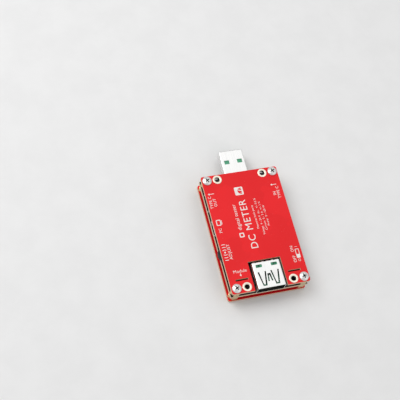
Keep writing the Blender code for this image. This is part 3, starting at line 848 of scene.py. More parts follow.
def makeStandoffs(kind):
    look = standoffLook
    low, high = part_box(f"{kind}_standoff_1")
    bottom = boardTop + look["seatGap"] * mm if kind == "rear" else low.z
    height = high.z - bottom
    flats = look["acrossFlats"] * mm
    corner = flats / 2 / cos(pi / 6)
    body = meshObject("hexTemplate", prism(circle(corner, steps=6), 0, height))
    slope = look["chamfer"] * mm
    keep = [(0, 0), (flats / 2 - 0.02 * mm, 0), (corner + 0.01 * mm, slope),
            (corner + 0.01 * mm, height - slope), (flats / 2 - 0.02 * mm, height), (0, height)]
    boolean(body, turnedMesh(keep, 72), 'INTERSECT')
    boolean(body, prism(circle(look["bore"] * mm, steps=40), -0.1 * mm, height + 0.1 * mm))
    roundEdges(body, look["edge"] * mm, 2, 25)
    names, places = fourOf(f"{kind}_standoff", bottom)
    repeatPiece(f"{kind}_standoffs", body, places, brassHex, replaced=names)


makeStandoffs("rear")
makeStandoffs("front")
print("standoffs made")


# ---- USB-A plug

def shellRings(width, height, corner, sheet, stations):
    # stations: (y, inset of the outer face); the tube's outer skin one way, its inner skin back
    rings = []
    for y, inset in stations:
        outline = roundedRectangle(width - 2 * inset, height - 2 * inset, corner - inset, steps=6)
        rings.append([(x, y, z) for x, z in outline])
    for y, inset in reversed(stations):
        grown = sheet + min(inset, 0.3 * sheet)
        inner = max(corner - grown, 0.12 * mm)
        outline = roundedRectangle(width - 2 * grown, height - 2 * grown, inner, steps=6)
        rings.append([(x, y, z) for x, z in outline])
    return rings


plugLook = {
    "sheet": 0.3, "corner": 0.55, "tipTaper": 0.13, "tipLength": 0.5,
    "windowWidth": 2.5, "windowLength": 2.0, "windowPitch": 6.5, "windowFromTip": 6.15,
    "windowCorner": 0.18,
    "seamGap": 0.09, "keyReach": 0.6, "keyHalf": 0.8, "keyFlare": 0.2, "keysFromMiddle": (-1.6, 3.2),
}


def makePlugShell():
    look = plugLook
    low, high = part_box("usb_a_plug_shell")
    centre = (low + high) / 2
    taper, tipLength = look["tipTaper"] * mm, look["tipLength"] * mm
    rings = shellRings(high.x - low.x, high.z - low.z, look["corner"] * mm, look["sheet"] * mm,
                       [(low.y, 0.0), (high.y - tipLength, 0.0), (high.y - 0.35 * tipLength, 0.35 * taper),
                        (high.y, taper)])
    bm = loftRings(rings, closed=True)
    bmesh.ops.translate(bm, verts=bm.verts, vec=(centre.x, 0, centre.z))
    shell = meshObject("plug_shell", bm)
    for side in (-1, 1):
        outline = roundedRectangle(look["windowWidth"] * mm, look["windowLength"] * mm,
                                   look["windowCorner"] * mm,
                                   centre.x + side * look["windowPitch"] * mm / 2,
                                   high.y - look["windowFromTip"] * mm)
        boolean(shell, prism(outline, low.z - mm, high.z + mm))
    boolean(shell, seamTool(centre.x, low, high, look["sheet"] * mm))
    roundEdges(shell, 0.045 * mm, 2, 40)
    # Faces inside the shell, back from its tip, get painted shade
    hidden = look["sheet"] * mm * 0.8
    markPaintedShade(shell, lambda at, normal: centre.z - low.z - abs(at.z - centre.z) > hidden
               and high.x - abs(at.x - centre.x) > hidden and at.y < high.y - 0.1 * mm)
    finishPiece(shell, shellSteel, meterBody, ["usb_a_plug_shell"])


def seamTool(x, low, high, sheet):
    # The folded sheet's edges meet in a line with two flared keys, on the side that faces down
    look = plugLook
    reach, half, flare = look["keyReach"] * mm, look["keyHalf"] * mm, look["keyFlare"] * mm
    line = [(x, low.y - mm)]
    for offset in look["keysFromMiddle"]:
        y = (low.y + high.y) / 2 + offset * mm
        line += [(x, y - half), (x + reach, y - half - flare),
                 (x + reach, y + half + flare), (x, y + half)]
    line.append((x, high.y - 1.2 * mm))
    return stripSolid(line, look["seamGap"] * mm, low.z - sheet, low.z + 0.8 * sheet)


def makeInsert(node, name, cuts):
    # Green moulding, with grooves cut for its contacts
    item = cadCopy(node, name)
    for tool in cuts:
        boolean(item, tool)
    roundEdges(item, 0.08 * mm, 2)
    finishPiece(item, greenPlastic, meterBody, [node])


def contactSlots(kind):
    # Shallow grooves in which the contacts lie
    tools = []
    side = 0.1 * mm
    above, below = (0.12 * mm, 0.1 * mm) if kind == "plug" else (0.1 * mm, 0.12 * mm)
    for number in range(1, 5):
        low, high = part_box(f"{kind}_contact_{number}")
        tools.append(block((low.x - side, low.y - side, low.z - below),
                           (high.x + side, high.y + side, high.z + above)))
    return tools


def latchPockets():
    # Under each window in the socket's shell, a dark pocket with a hook left standing in it
    low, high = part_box("usb_a_socket_shell")
    y = high.y - socketLook["windowFromBack"] * mm
    tools = []
    for side in (-1, 1):
        x = (low.x + high.x) / 2 + side * (socketLook["windowAcross"] + 0.25) * mm
        hook = [(-1.0, -0.45), (0.9, -0.45), (0.9, -0.15), (-0.1, -0.15), (-0.1, 0.15), (0.9, 0.15),
                (0.9, 0.5), (-1.0, 0.5), (-1.0, 0.2), (-0.45, 0.2), (-0.45, -0.15), (-1.0, -0.15)]
        outline = [(x + side * across * mm, y + along * mm) for across, along in hook]
        tools.append(prism(outline, high.z - 1.6 * mm, high.z + mm))
    return tools


def makeContacts(kind):
    for number in range(1, 5):
        node = f"{kind}_contact_{number}"
        item = cadCopy(node, "strip_" + node)
        roundEdges(item, 0.05 * mm, 3)
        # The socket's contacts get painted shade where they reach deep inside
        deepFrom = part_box(node)[0].y + 1.2 * mm
        markPaintedShade(item, lambda at, normal: kind == "socket" and at.y > deepFrom)
        finishPiece(item, goldPlate, meterBody, [node])


makePlugShell()
makeInsert("usb_a_plug_insert", "plug_insert", contactSlots("plug"))
makeContacts("plug")
print("plug made")


# ---- USB-A socket

socketLook = {
    "sheet": 0.3, "corner": 0.8,
    "fingerAcross": 3.1, "rootHalf": 2.05, "tipHalf": 0.95, "tipFromMouth": 1.05, "rootFromMouth": 7.95,
    "middleRootHalf": 1.2, "middleTipHalf": 0.75, "middleRoot": 2.9, "middleTip": 6.7,
    "slit": 0.66, "dip": 0.25,
    "windowAcross": 3.7, "windowWidth": 3.0, "windowLength": 1.45, "windowFromBack": 1.7,
    "windowCorner": 0.2,
    "sideHole": (5.0, 2.2), "sideHoleFromMouth": 5.2, "sideStripHalf": 0.8,
    # From the mouth, and depth inside the wall in sheet thicknesses
    "sideStrip": ((7.8, 0.5), (5.0, 1.3), (3.4, 1.9), (2.9, 1.6)),
    # Tabs folded down behind: place across, width, reach
    "rearTabs": ((-5.7, 1.1, 0.5), (-3.6, 1.5, 0.3), (-1.3, 0.9, 0.6), (0.9, 1.2, 0.35),
                 (3.4, 1.0, 0.55), (5.6, 1.3, 0.4)),
}


def fingerOutline(x, rootHalf, tipHalf, rootY, tipY):
    return [(x - rootHalf, rootY), (x - tipHalf, tipY), (x + tipHalf, tipY), (x + rootHalf, rootY)]


def addFinger(bm, x, rootHalf, tipHalf, rootY, tipY, level, sheet, dip, slit):
    # A tapered spring strip that starts in the shell at its root and dips inside towards its tip
    steps = 12
    turnUp = 0.8
    rings = []
    away = 1 if tipY > rootY else -1
    slope = (rootHalf - tipHalf) / abs(tipY - rootY)
    side = slit * (1 + slope ** 2) ** 0.5
    startY, endY = rootY - away * 0.06 * mm, tipY - away * slit
    for step in range(steps + 1):
        share = step / steps
        y = startY + (endY - startY) * share
        half = rootHalf - slope * abs(y - rootY) - side
        sag = dip * sin(min(share / turnUp, 1.0) * pi / 2) ** 2
        if share > turnUp:
            sag -= dip * 0.5 * (share - turnUp) / (1 - turnUp)
            half -= 0.12 * mm * ((share - turnUp) / (1 - turnUp)) ** 2
        top = level - 0.004 * mm - sag
        rings.append([(x - half, y, top), (x + half, y, top),
                      (x + half, y, top - sheet), (x - half, y, top - sheet)])
    joinInto(bm, loftRings(rings, closed=False))


def addRearTabs(bm, low, high, sheet):
    # The cover folded down behind the shell: short tabs with gaps between them
    x = (low.x + high.x) / 2
    for across, width, reach in socketLook["rearTabs"]:
        far = reach * mm
        path = [(high.y - 0.02 * mm, high.z - 0.5 * sheet), (high.y + 0.4 * far, high.z - 0.75 * sheet),
                (high.y + 0.8 * far, high.z - 1.9 * sheet), (high.y + far, high.z - 4.5 * sheet)]
        tab = stripSolid(path, 0.8 * sheet, -width * mm / 2, width * mm / 2, alongX)
        bmesh.ops.translate(tab, verts=tab.verts, vec=(x + across * mm, 0, 0))
        joinInto(bm, tab)
    back = prism(rectangle((high.x - low.x) * 0.94, 0.2 * mm, 0, high.y + 0.22 * mm),
                 low.z + 0.2 * mm, high.z - 4.5 * sheet)
    bmesh.ops.translate(back, verts=back.verts, vec=(x, 0, 0))
    joinInto(bm, back)


def makeSocketShell():
    look = socketLook
    low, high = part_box("usb_a_socket_shell")
    centre = (low + high) / 2
    sheet = look["sheet"] * mm
    rings = shellRings(high.x - low.x, high.z - low.z, look["corner"] * mm, sheet,
                       [(high.y, 0.0), (low.y + 0.4 * mm, 0.0), (low.y, 0.04 * mm)])
    bm = loftRings(rings, closed=True)
    bmesh.ops.translate(bm, verts=bm.verts, vec=(centre.x, 0, centre.z))
    shell = meshObject("socket_shell", bm)
    fingers = []
    for side in (-1, 1):
        fingers.append((centre.x + side * look["fingerAcross"] * mm,
                        look["rootHalf"] * mm, look["tipHalf"] * mm,
                        low.y + look["rootFromMouth"] * mm, low.y + look["tipFromMouth"] * mm))
    fingers.append((centre.x, look["middleRootHalf"] * mm, look["middleTipHalf"] * mm,
                    low.y + look["middleRoot"] * mm, low.y + look["middleTip"] * mm))
    for finger in fingers:
        boolean(shell, prism(fingerOutline(*finger), high.z - 2 * sheet, high.z + sheet))
    for side in (-1, 1):
        outline = roundedRectangle(look["windowWidth"] * mm, look["windowLength"] * mm,
                                   look["windowCorner"] * mm,
                                   centre.x + side * look["windowAcross"] * mm,
                                   high.y - look["windowFromBack"] * mm)
        boolean(shell, prism(outline, high.z - 2 * sheet, high.z + sheet))
        # Side springs, one in each wall
        outer = high.x if side > 0 else low.x
        length, width = look["sideHole"]
        hole = rectangle(length * mm, width * mm, low.y + look["sideHoleFromMouth"] * mm, centre.z)
        boolean(shell, prism(hole, outer - 2 * sheet, outer + 2 * sheet, matrix=alongX))
    roundEdges(shell, 0.04 * mm, 2, 40)
    # Faces inside the shell, back from the mouth, get painted shade
    markPaintedShade(shell, lambda at, normal: high.z - at.z > 0.5 * sheet and at.z - low.z > 0.5 * sheet
               and high.x - abs(at.x - centre.x) > 0.5 * sheet and at.y > low.y + 0.1 * mm)
    strips = bmesh.new()
    addRearTabs(strips, low, high, sheet)
    for side in (-1, 1):
        outer = high.x if side > 0 else low.x
        line = [(outer - side * depth * sheet, low.y + along * mm) for along, depth in look["sideStrip"]]
        half = look["sideStripHalf"] * mm
        joinInto(strips, stripSolid(line, 0.9 * sheet, centre.z - half, centre.z + half))
    for x, rootHalf, tipHalf, rootY, tipY in fingers:
        dip = look["dip"] * mm * (1.0 if rootHalf > 1.5 * mm else 0.6)
        addFinger(strips, x, rootHalf, tipHalf, rootY, tipY, high.z, sheet, dip, look["slit"] * mm)
    springs = meshObject("socket_springs", strips, fixNormals=False)
    roundEdges(springs, 0.03 * mm, 2, 50)
    finishPiece(shell, shellSteel, meterBody, ["usb_a_socket_shell"])
    finishPiece(springs, shellSteel, meterBody)


makeInsert("usb_a_socket_insert", "socket_insert", contactSlots("socket") + latchPockets())
makeContacts("socket")
makeSocketShell()
print("socket made")


# ---- White print on the rear panel

def textMesh(words, height, spacing=1.0):
    # Flat letters of that cap height as closed solids one unit thick, centred on the origin
    curve = bpy.data.curves.new("words", 'FONT')
    curve.body = words
    curve.size = height * mm / 0.69
    curve.align_x = 'CENTER'
    curve.align_y = 'CENTER'
    curve.space_character = spacing
    curve.resolution_u = 3
    item = newObject("words", curve)
    graph = bpy.context.evaluated_depsgraph_get()
    flat = bpy.data.meshes.new_from_object(item.evaluated_get(graph))
    bpy.data.objects.remove(item)
    bpy.data.curves.remove(curve)
    bm = bmesh.new()
    bm.from_mesh(flat)
    bpy.data.meshes.remove(flat)
    bmesh.ops.remove_doubles(bm, verts=bm.verts, dist=1e-7)
    for face in bm.faces:
        face.normal_update()
    bmesh.ops.triangulate(bm, faces=bm.faces[:])
    raised = bmesh.ops.extrude_face_region(bm, geom=bm.faces[:])
    verts = [part for part in raised["geom"] if isinstance(part, bmesh.types.BMVert)]
    bmesh.ops.translate(bm, verts=verts, vec=(0, 0, 1))
    return bm


def printWords(bm, words, height, x, y, turn=0.0, spacing=1.0):
    # x and y in millimetres from the panel's centre
    piece = textMesh(words, height, spacing)
    bmesh.ops.transform(piece, matrix=Matrix.Rotation(radians(turn), 4, 'Z'), verts=piece.verts)
    bmesh.ops.translate(piece, verts=piece.verts, vec=(x * mm, y * mm, 0))
    joinInto(bm, piece)


def printShape(bm, outline, holes=()):
    scaled = [(x * mm, y * mm) for x, y in outline]
    joinInto(bm, prism(scaled, 0, 1, [[(x * mm, y * mm) for x, y in hole] for hole in holes]))


def printStroke(bm, points, width):
    joinInto(bm, stripSolid([(x * mm, y * mm) for x, y in points], width * mm, 0, 1))


def printFrame(bm, x, y, outer, inner):
    # outer and inner: width, height and corner radius
    printShape(bm, roundedRectangle(*outer, x, y), [roundedRectangle(*inner, x, y)])


def printArrow(bm, x, y, dx, dy, length):
    # A line with a solid head, from its tail towards (dx, dy)
    headLength, headHalf = inkLook["arrowHead"]
    along = Vector((dx, dy)).normalized()
    side = Vector((-along.y, along.x))
    start = Vector((x, y)) - along * length / 2
    neck = start + along * (length - headLength)
    tip = start + along * length
    printStroke(bm, [tuple(start), tuple(neck)], inkLook["arrowLine"])
    printShape(bm, [tuple(neck + side * headHalf), tuple(neck - side * headHalf), tuple(tip)])


def layInk(name, bm, level, towards):
    # Sets the print's thickness and lays it on a face that looks towards +Z, or mirrored towards -Z
    look = inkLook
    thickness, sunk = look["thickness"] * mm, look["sunk"] * mm
    for vert in bm.verts:
        vert.co.z = level + towards * (vert.co.z * (thickness + sunk) - sunk)
        vert.co.x = panelCentre.x + towards * vert.co.x
        vert.co.y += panelCentre.y
    item = meshObject(name, bm)
    return finishPiece(item, whiteInk)


def placeOf(node):
    # A piece's place along the panel, in millimetres from its centre
    return (middle(node).y - panelCentre.y) / mm


def makeRearPrint():
    bm = bmesh.new()
    line = inkLook["line"]
    outY, dataY, dialY, inY, switchY = (placeOf(node) for node in (
        "usb_c_out_shell", "micro_usb_shell", "dial_housing", "usb_c_in_shell", "switch_body"))
    slotY = (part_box("module_socket_left")[1].y - panelCentre.y) / mm
    slotX = (middle("module_socket_left").x - panelCentre.x) / mm
    # Words, cap height, x, y, turn and spacing: left column, right column, title and ratings
    for label in (
            ("TYPE C", 1.35, -17.35, outY - 1.1, 90, 1.05),
            ("OUT", 1.35, -15.35, outY - 1.4, 90, 1.05),
            ("PC", 1.35, -16.4, dataY - 2.4, 90, 1.05),
            ("ADJUST", 1.45, -15.0, dialY, 90, 1.1),
            ("Module", 1.45, slotX + 0.1, slotY + 3.0, 0, 1.05),
            ("TYPE C", 1.35, 16.6, inY - 1.1, 90, 1.05),
            ("IN", 1.35, 14.6, inY - 1.4, 90, 1.05),
            ("ON", 1.35, 14.7, switchY + 2.6, 90, 1.05),
            ("OFF", 1.35, 14.7, switchY - 2.5, 90, 1.05),
            ("I", 1.2, 16.9, switchY + 3.4, 90, 1.0),
            ("O", 1.2, 16.9, switchY - 3.4, 90, 1.0),
            ("DC METER", 3.4, -2.3, 2.6, 90, 1.12),
            ("digital tester", 1.7, -7.0, 6.9, 90, 1.06),
            ("Measures both ports", 0.95, 1.7, 5.6, 90, 1.05),
            ("Voltage  4 - 24 V  d.c.  +/- 0.5 %", 0.95, 3.9, 5.6, 90, 1.05),
            ("Current  0 - 5 A  +/- 1 %", 0.95, 5.6, 5.6, 90, 1.05),
            ("Power  0 - 120 W", 0.95, 7.2, 5.6, 90, 1.05)):
        printWords(bm, *label)
    for arrow in ((-16.3, outY + 3.2, -1, 0, 3.0), (15.2, inY + 3.2, -1, 0, 3.0),
                  (slotX, slotY + 1.2, 0, -1, 1.5)):
        printArrow(bm, *arrow)

    # A computer's screen on its stand, the switch, and a square beside the title
    printFrame(bm, -16.4, dataY + 1.6, (2.3, 3.0, 0.5), (1.5, 2.2, 0.3))
    printStroke(bm, [(-14.9, dataY + 0.6), (-14.9, dataY + 2.6)], line)
    printStroke(bm, [(-15.3, dataY + 1.6), (-14.9, dataY + 1.6)], line)
    printFrame(bm, 16.9, switchY, (1.9, 4.6, 0.35), (1.3, 4.0, 0.2))
    printShape(bm, rectangle(1.3, 1.6, 16.9, switchY - 1.2))
    printFrame(bm, -7.0, -2.3, (2.3, 2.3, 0.4), (1.3, 1.3, 0.2))
    printGauge(bm, -2.5, 20.0)

    # Rings that part to both sides of a dot, by the dial
    printShape(bm, circle(0.42, -17.2, dialY, 20))
    for reach in (1.3, 2.6, 3.9):
        spread = degrees(asin(0.85 / reach))
        for towards in (90, 270):
            arc = arcPoints((-17.2, dialY), reach, towards - spread, towards + spread, 8)
            printStroke(bm, arc, line)
    layInk("rear_print", bm, panelTop, 1)


def turnedAbout(points, x, y):
    # Points about the origin, turned a quarter to the left and moved to (x, y)
    return [(x - py, y + px) for px, py in points]


def printGauge(bm, x, y):
    # A white square with a dial gauge left dark in it
    face = arcPoints((0, -0.95), 1.6, 0, 180, 16) + [(-1.6, -1.35), (1.6, -1.35)]
    printShape(bm, roundedRectangle(4.2, 4.2, 0.5, x, y), [turnedAbout(face, x, y)])
    printStroke(bm, turnedAbout([(0, -1.3), (0.62, 0.35)], x, y), 0.42)
    for start, end in ((-1.15, -0.8), (0.8, 1.15)):
        printStroke(bm, turnedAbout([(start, -0.95), (end, -0.95)], x, y), inkLook["line"])


def makeFrontPrint():
    # Seen from the screen's side, plug up
    bm = bmesh.new()
    low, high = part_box("lcd_glass")
    screenY = ((low.y + high.y) / 2 - panelCentre.y) / mm
    halfX, halfY = (high.x - low.x) / 2 / mm - 0.5, (high.y - low.y) / 2 / mm - 1.0
    printFrame(bm, 0, screenY, (2 * halfX + 0.5, 2 * halfY + 0.5, 1.3), (2 * halfX, 2 * halfY, 1.05))
    for label in (
            ("DC METER", 2.1, 0, 21.4, 0, 1.1),
            ("input", 1.3, 0, 27.6, 0, 1.05),
            ("output", 1.3, 0, -25.0, 0, 1.05),
            ("Type C out", 1.2, 16.9, placeOf("usb_c_out_shell"), 90, 1.05),
            ("PC", 1.2, 16.9, placeOf("micro_usb_shell"), 90, 1.05),
            ("ADJUST", 1.2, 16.9, placeOf("dial_housing"), 90, 1.05),
            ("Type C in", 1.2, -16.9, placeOf("usb_c_in_shell"), 90, 1.05),
            ("OFF  ON", 1.2, -16.9, placeOf("switch_body"), 90, 1.05)):
        printWords(bm, *label)
    for y in (25.4, -27.4):
        printArrow(bm, 0, y, 0, -1, 1.8)
    layInk("front_print", bm, frontLow.z + inkLook["thickness"] * mm, -1)


makeRearPrint()
makeFrontPrint()
print("print made")


# ---- Screen

for node, paint, slotName, width in (("lcd_frame", blackPlastic, "black_plastic", 0.08),
                                     ("lcd_glass", screenGlass, "screen_glass", 0.05),
                                     ("lcd_flex", flexFilm, "flex_film", 0.0)):
    refined(node, paint, width)
print("screen made")


# ---- Ports on the sides

portLook = {
    "contactPitch": 0.5, "contactCount": 12, "contactWidth": 0.27, "contactLength": 3.3,
    "proud": 0.03, "tongueHalf": 0.35, "setBack": 0.15,
    "microPitch": 0.65, "microCount": 5,
}


def makePortShell(node):
    shell = roundEdges(cadCopy(node, "fine_" + node), 0.05 * mm, 2)
    low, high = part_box(node)
    centre = (low + high) / 2
    hidden = 0.2 * mm

    # Faces inside the port that look inwards get painted shade
    def facesIn(at, normal):
        inside = (high.z - at.z > hidden and at.z - low.z > hidden
                  and high.y - at.y > hidden and at.y - low.y > hidden)
        outwards = Vector((0, at.y - centre.y, at.z - centre.z))
        return inside and abs(normal.x) < 0.5 and outwards.dot(normal) < 0

    markPaintedShade(shell, facesIn)
    finishPiece(shell, portSteel, meterBody, [node])


def makePorts():
    look = portLook
    for node in ("usb_c_in_shell", "usb_c_out_shell", "micro_usb_shell"):
        makePortShell(node)
    for node in ("usb_c_in_tongue", "usb_c_out_tongue", "micro_usb_tongue"):
        refined(node, blackPlastic, 0.05)
    places = []
    half = look["tongueHalf"] * mm + look["proud"] * mm / 2
    fromTip = (look["contactLength"] / 2 + look["setBack"]) * mm
    for node, side in (("usb_c_in_tongue", 1), ("usb_c_out_tongue", -1)):
        low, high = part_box(node)
        centre = (low + high) / 2
        x = (high.x if side > 0 else low.x) - side * fromTip
        for number in range(look["contactCount"]):
            y = centre.y + (number - (look["contactCount"] - 1) / 2) * look["contactPitch"] * mm
            places += [(x, y, centre.z + half), (x, y, centre.z - half)]
    low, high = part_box("micro_usb_tongue")
    centre = (low + high) / 2
    for number in range(look["microCount"]):
        y = centre.y + (number - (look["microCount"] - 1) / 2) * look["microPitch"] * mm
        places.append((low.x + fromTip, y, centre.z - 0.1 * mm - half / 10))
    reach, wide = look["contactLength"] * mm / 2, look["contactWidth"] * mm / 2
    proud = look["proud"] * mm / 2
    strip = meshObject("portContact", block((-reach, -wide, -proud), (reach, wide, proud)))
    roundEdges(strip, 0.012 * mm, 1)
    repeatPiece("port_contacts", strip, places, goldPlate)


makePorts()
print("ports made")


# ---- Dial: the wheel's ribs follow a rule in its own tree

dialLook = {"ribs": 36, "ribDepth": 0.26, "bore": 0.85, "pinHole": 0.3, "pinInset": 1.0}


def makeWheelTree():
    # A disc with ribs round its rim and a bore, raised to its thickness
    tree, inputs, result = newTree("ribbedWheel", 'GeometryNodeTree', [
        ("Radius", 'NodeSocketFloat'), ("Bore", 'NodeSocketFloat'), ("Thickness", 'NodeSocketFloat'),
        ("Ribs", 'NodeSocketInt'), ("Rib Depth", 'NodeSocketFloat'), ("Material", 'NodeSocketMaterial')],
        [("Geometry", 'NodeSocketGeometry')])
    rim = addNode(tree, 'GeometryNodeCurvePrimitiveCircle', Radius=inputs["Radius"],
                  Resolution=mathNode(tree, 'MULTIPLY', inputs["Ribs"], 8.0))
    hole = addNode(tree, 'GeometryNodeCurvePrimitiveCircle', Radius=inputs["Bore"], Resolution=40)
    position = tree.nodes.new('GeometryNodeInputPosition').outputs[0]
    split = addNode(tree, 'ShaderNodeSeparateXYZ', Vector=position)
    turn = mathNode(tree, 'ARCTAN2', split.outputs["Y"], split.outputs["X"])
    wave = mathNode(tree, 'COSINE', mathNode(tree, 'MULTIPLY', turn, inputs["Ribs"]))
    valley = mathNode(tree, 'MULTIPLY', mathNode(tree, 'SUBTRACT', 1.0, wave), 0.5)
    depth = mathNode(tree, 'MULTIPLY', mathNode(tree, 'POWER', valley, 1.6), inputs["Rib Depth"])
    scale = mathNode(tree, 'SUBTRACT', 1.0, mathNode(tree, 'DIVIDE', depth, inputs["Radius"]))
    scaled = addNode(tree, 'ShaderNodeVectorMath', {"operation": 'SCALE'}, Vector=position, Scale=scale)
    moved = addNode(tree, 'GeometryNodeSetPosition', Geometry=rim.outputs["Curve"],
                    Position=scaled.outputs[0])
    both = addNode(tree, 'GeometryNodeJoinGeometry', Geometry=moved.outputs["Geometry"])
    feed(tree, both.inputs[0], hole.outputs["Curve"])
    fill = addNode(tree, 'GeometryNodeFillCurve', Curve=both.outputs[0])
    raised = addNode(tree, 'GeometryNodeExtrudeMesh', Individual=False, Mesh=fill.outputs["Mesh"],
                     Offset_Scale=inputs["Thickness"])
    under = addNode(tree, 'GeometryNodeFlipFaces', Mesh=fill.outputs["Mesh"])
    whole = addNode(tree, 'GeometryNodeJoinGeometry', Geometry=raised.outputs["Mesh"])
    feed(tree, whole.inputs[0], under.outputs["Mesh"])
    weld = addNode(tree, 'GeometryNodeMergeByDistance', Distance=0.000001, Geometry=whole.outputs[0])
    paintOutput(tree, weld.outputs["Geometry"], inputs, result)
    return tree


def makeWheel():
    look = dialLook
    low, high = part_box("dial_wheel")
    centre = (low + high) / 2
    wheel = bakeTree(newObject("ribbed_wheel", bpy.data.meshes.new("ribbed_wheel")), makeWheelTree(), {
        "Radius": (high.x - low.x) / 2, "Bore": look["bore"] * mm, "Thickness": high.z - low.z,
        "Ribs": look["ribs"], "Rib Depth": look["ribDepth"] * mm, "Material": blackPlastic})
    bm = bmesh.new()
    bm.from_mesh(wheel.data)
    bmesh.ops.recalc_face_normals(bm, faces=bm.faces)
    lowest = min(vert.co.z for vert in bm.verts)
    bmesh.ops.translate(bm, verts=bm.verts, vec=(centre.x, centre.y, low.z - lowest))
    bm.to_mesh(wheel.data)
    bm.free()
    roundEdges(wheel, 0.05 * mm, 2, 60)
    finishPiece(wheel, blackPlastic, "dial_wheel", ["dial_wheel"])


def makeDial():
    makeWheel()
    refined("dial_housing", blackPlastic, 0.06)
    refined("dial_carriage", blackPlastic, 0.05, body="dial_press")
    cover = cadCopy("dial_cover", "fine_dial_cover")
    low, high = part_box("dial_cover")
    inset = dialLook["pinInset"] * mm
    size, centre = high - low, (low + high) / 2
    for x, y in rectangle(size.x - 2 * inset, size.y - 2 * inset, centre.x, centre.y):
        boolean(cover, prism(circle(dialLook["pinHole"] * mm, x, y, 20), low.z - mm, high.z + mm))
    roundEdges(cover, 0.04 * mm, 2)
    finishPiece(cover, portSteel, meterBody, ["dial_cover"])


makeDial()
print("dial made")


# ---- Slide switch

knobLook = {"grooves": (0.25, 0.5, 0.75), "depth": 0.18, "half": 0.07}


def makeSwitch():
    look = knobLook
    refined("switch_body", portSteel, 0.08, 3)
    low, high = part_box("switch_knob")
    knob = cadCopy("switch_knob", "fine_switch_knob")
    half = look["half"] * mm
    for share in look["grooves"]:
        y = low.y + (high.y - low.y) * share
        boolean(knob, block((high.x - look["depth"] * mm, y - half, low.z - mm),
                            (high.x + mm, y + half, high.z + mm)))
    roundEdges(knob, 0.05 * mm, 2)
    finishPiece(knob, blackPlastic, "switch_knob", ["switch_knob"])


makeSwitch()
print("switch made")


# ---- Module sockets, with their contact leaves

leafLook = {
    "count": 7, "pitch": 0.82, "foot": 0.52, "thickness": 0.09, "half": 0.2,
    "path": ((0.40, 0), (0.40, 1.0), (0.2, 1.7), (0.34, 2.35)),     # from the slot's middle, and up
}


def makeModuleSockets():
    look = leafLook
    places = []
    for node in ("module_socket_left", "module_socket_right"):
        refined(node, blackPlastic, 0.06)
        centre, low = middle(node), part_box(node)[0]
        level = low.z + look["foot"] * mm
        for number in range(look["count"]):
            x = centre.x + (number - (look["count"] - 1) / 2) * look["pitch"] * mm
            places += [(x, centre.y, level, 0, 0, turn) for turn in (0, pi)]
    path = [(out * mm, up * mm) for out, up in look["path"]]
    half = look["half"] * mm
    leaf = meshObject("leaf", stripSolid(path, look["thickness"] * mm, -half, half, alongX))
    roundEdges(leaf, 0)
    repeatPiece("module_contacts", leaf, places, goldPlate)


makeModuleSockets()
print("module sockets made")


# ---- Chips and the larger parts on the board

chipLook = {
    "leadWidth": 0.22, "leadPitch": 0.5, "leadsPerSide": 12, "leadReach": 0.9, "leadHeight": 0.5,
    "wideLeadWidth": 0.55, "wideLeadPitch": 1.5, "wideLeadReach": 1.3, "wideLeadHeight": 0.75,
    "leadThickness": 0.13, "foot": 0.08,
    "dot": 0.35, "dotDepth": 0.06,
    "coilRecess": 1.9, "coilRecessDepth": 0.12,
    # Shunt's end: out from its face and up, and half its length
    "shuntEnd": ((-0.7, 0.02), (0.5, 0.02), (0.25, 0.35), (0.05, 0.74), (-0.7, 0.74)), "shuntHalf": 1.65,
}


def chipWithDot(node, paint, bevel, dotInset):
    low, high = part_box(node)
    item = cadCopy(node, "fine_" + node)
    if dotInset:
        dot = circle(chipLook["dot"] * mm, low.x + dotInset * mm, high.y - dotInset * mm, 24)
        boolean(item, prism(dot, high.z - chipLook["dotDepth"] * mm, high.z + mm))
    roundEdges(item, bevel * mm, 2)
    finishPiece(item, paint, meterBody, [node])


def sidePlaces(node, sides, count, pitch):
    # Evenly along the given sides of a piece's box, each turned to face away from it
    low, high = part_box(node)
    centre = (low + high) / 2
    places = []
    for side in sides:
        out = Vector((cos(side * pi / 2), sin(side * pi / 2)))
        along = Vector((-out.y, out.x))
        half = (high.x - low.x) / 2 if side % 2 == 0 else (high.y - low.y) / 2
        for number in range(count):
            spot = centre.xy + out * half + along * (number - (count - 1) / 2) * pitch
            places.append((spot.x, spot.y, boardTop, 0, 0, side * pi / 2))
    return places


def leadMesh(name, width, reach, height):
    foot, thickness = chipLook["foot"] * mm, chipLook["leadThickness"] * mm
    path = [(-0.1 * mm, height), (0.3 * reach, height), (0.55 * reach, foot), (reach, foot)]
    lead = meshObject(name, stripSolid(path, thickness, -width / 2, width / 2, alongY))
    return roundEdges(lead, 0.02 * mm, 1)


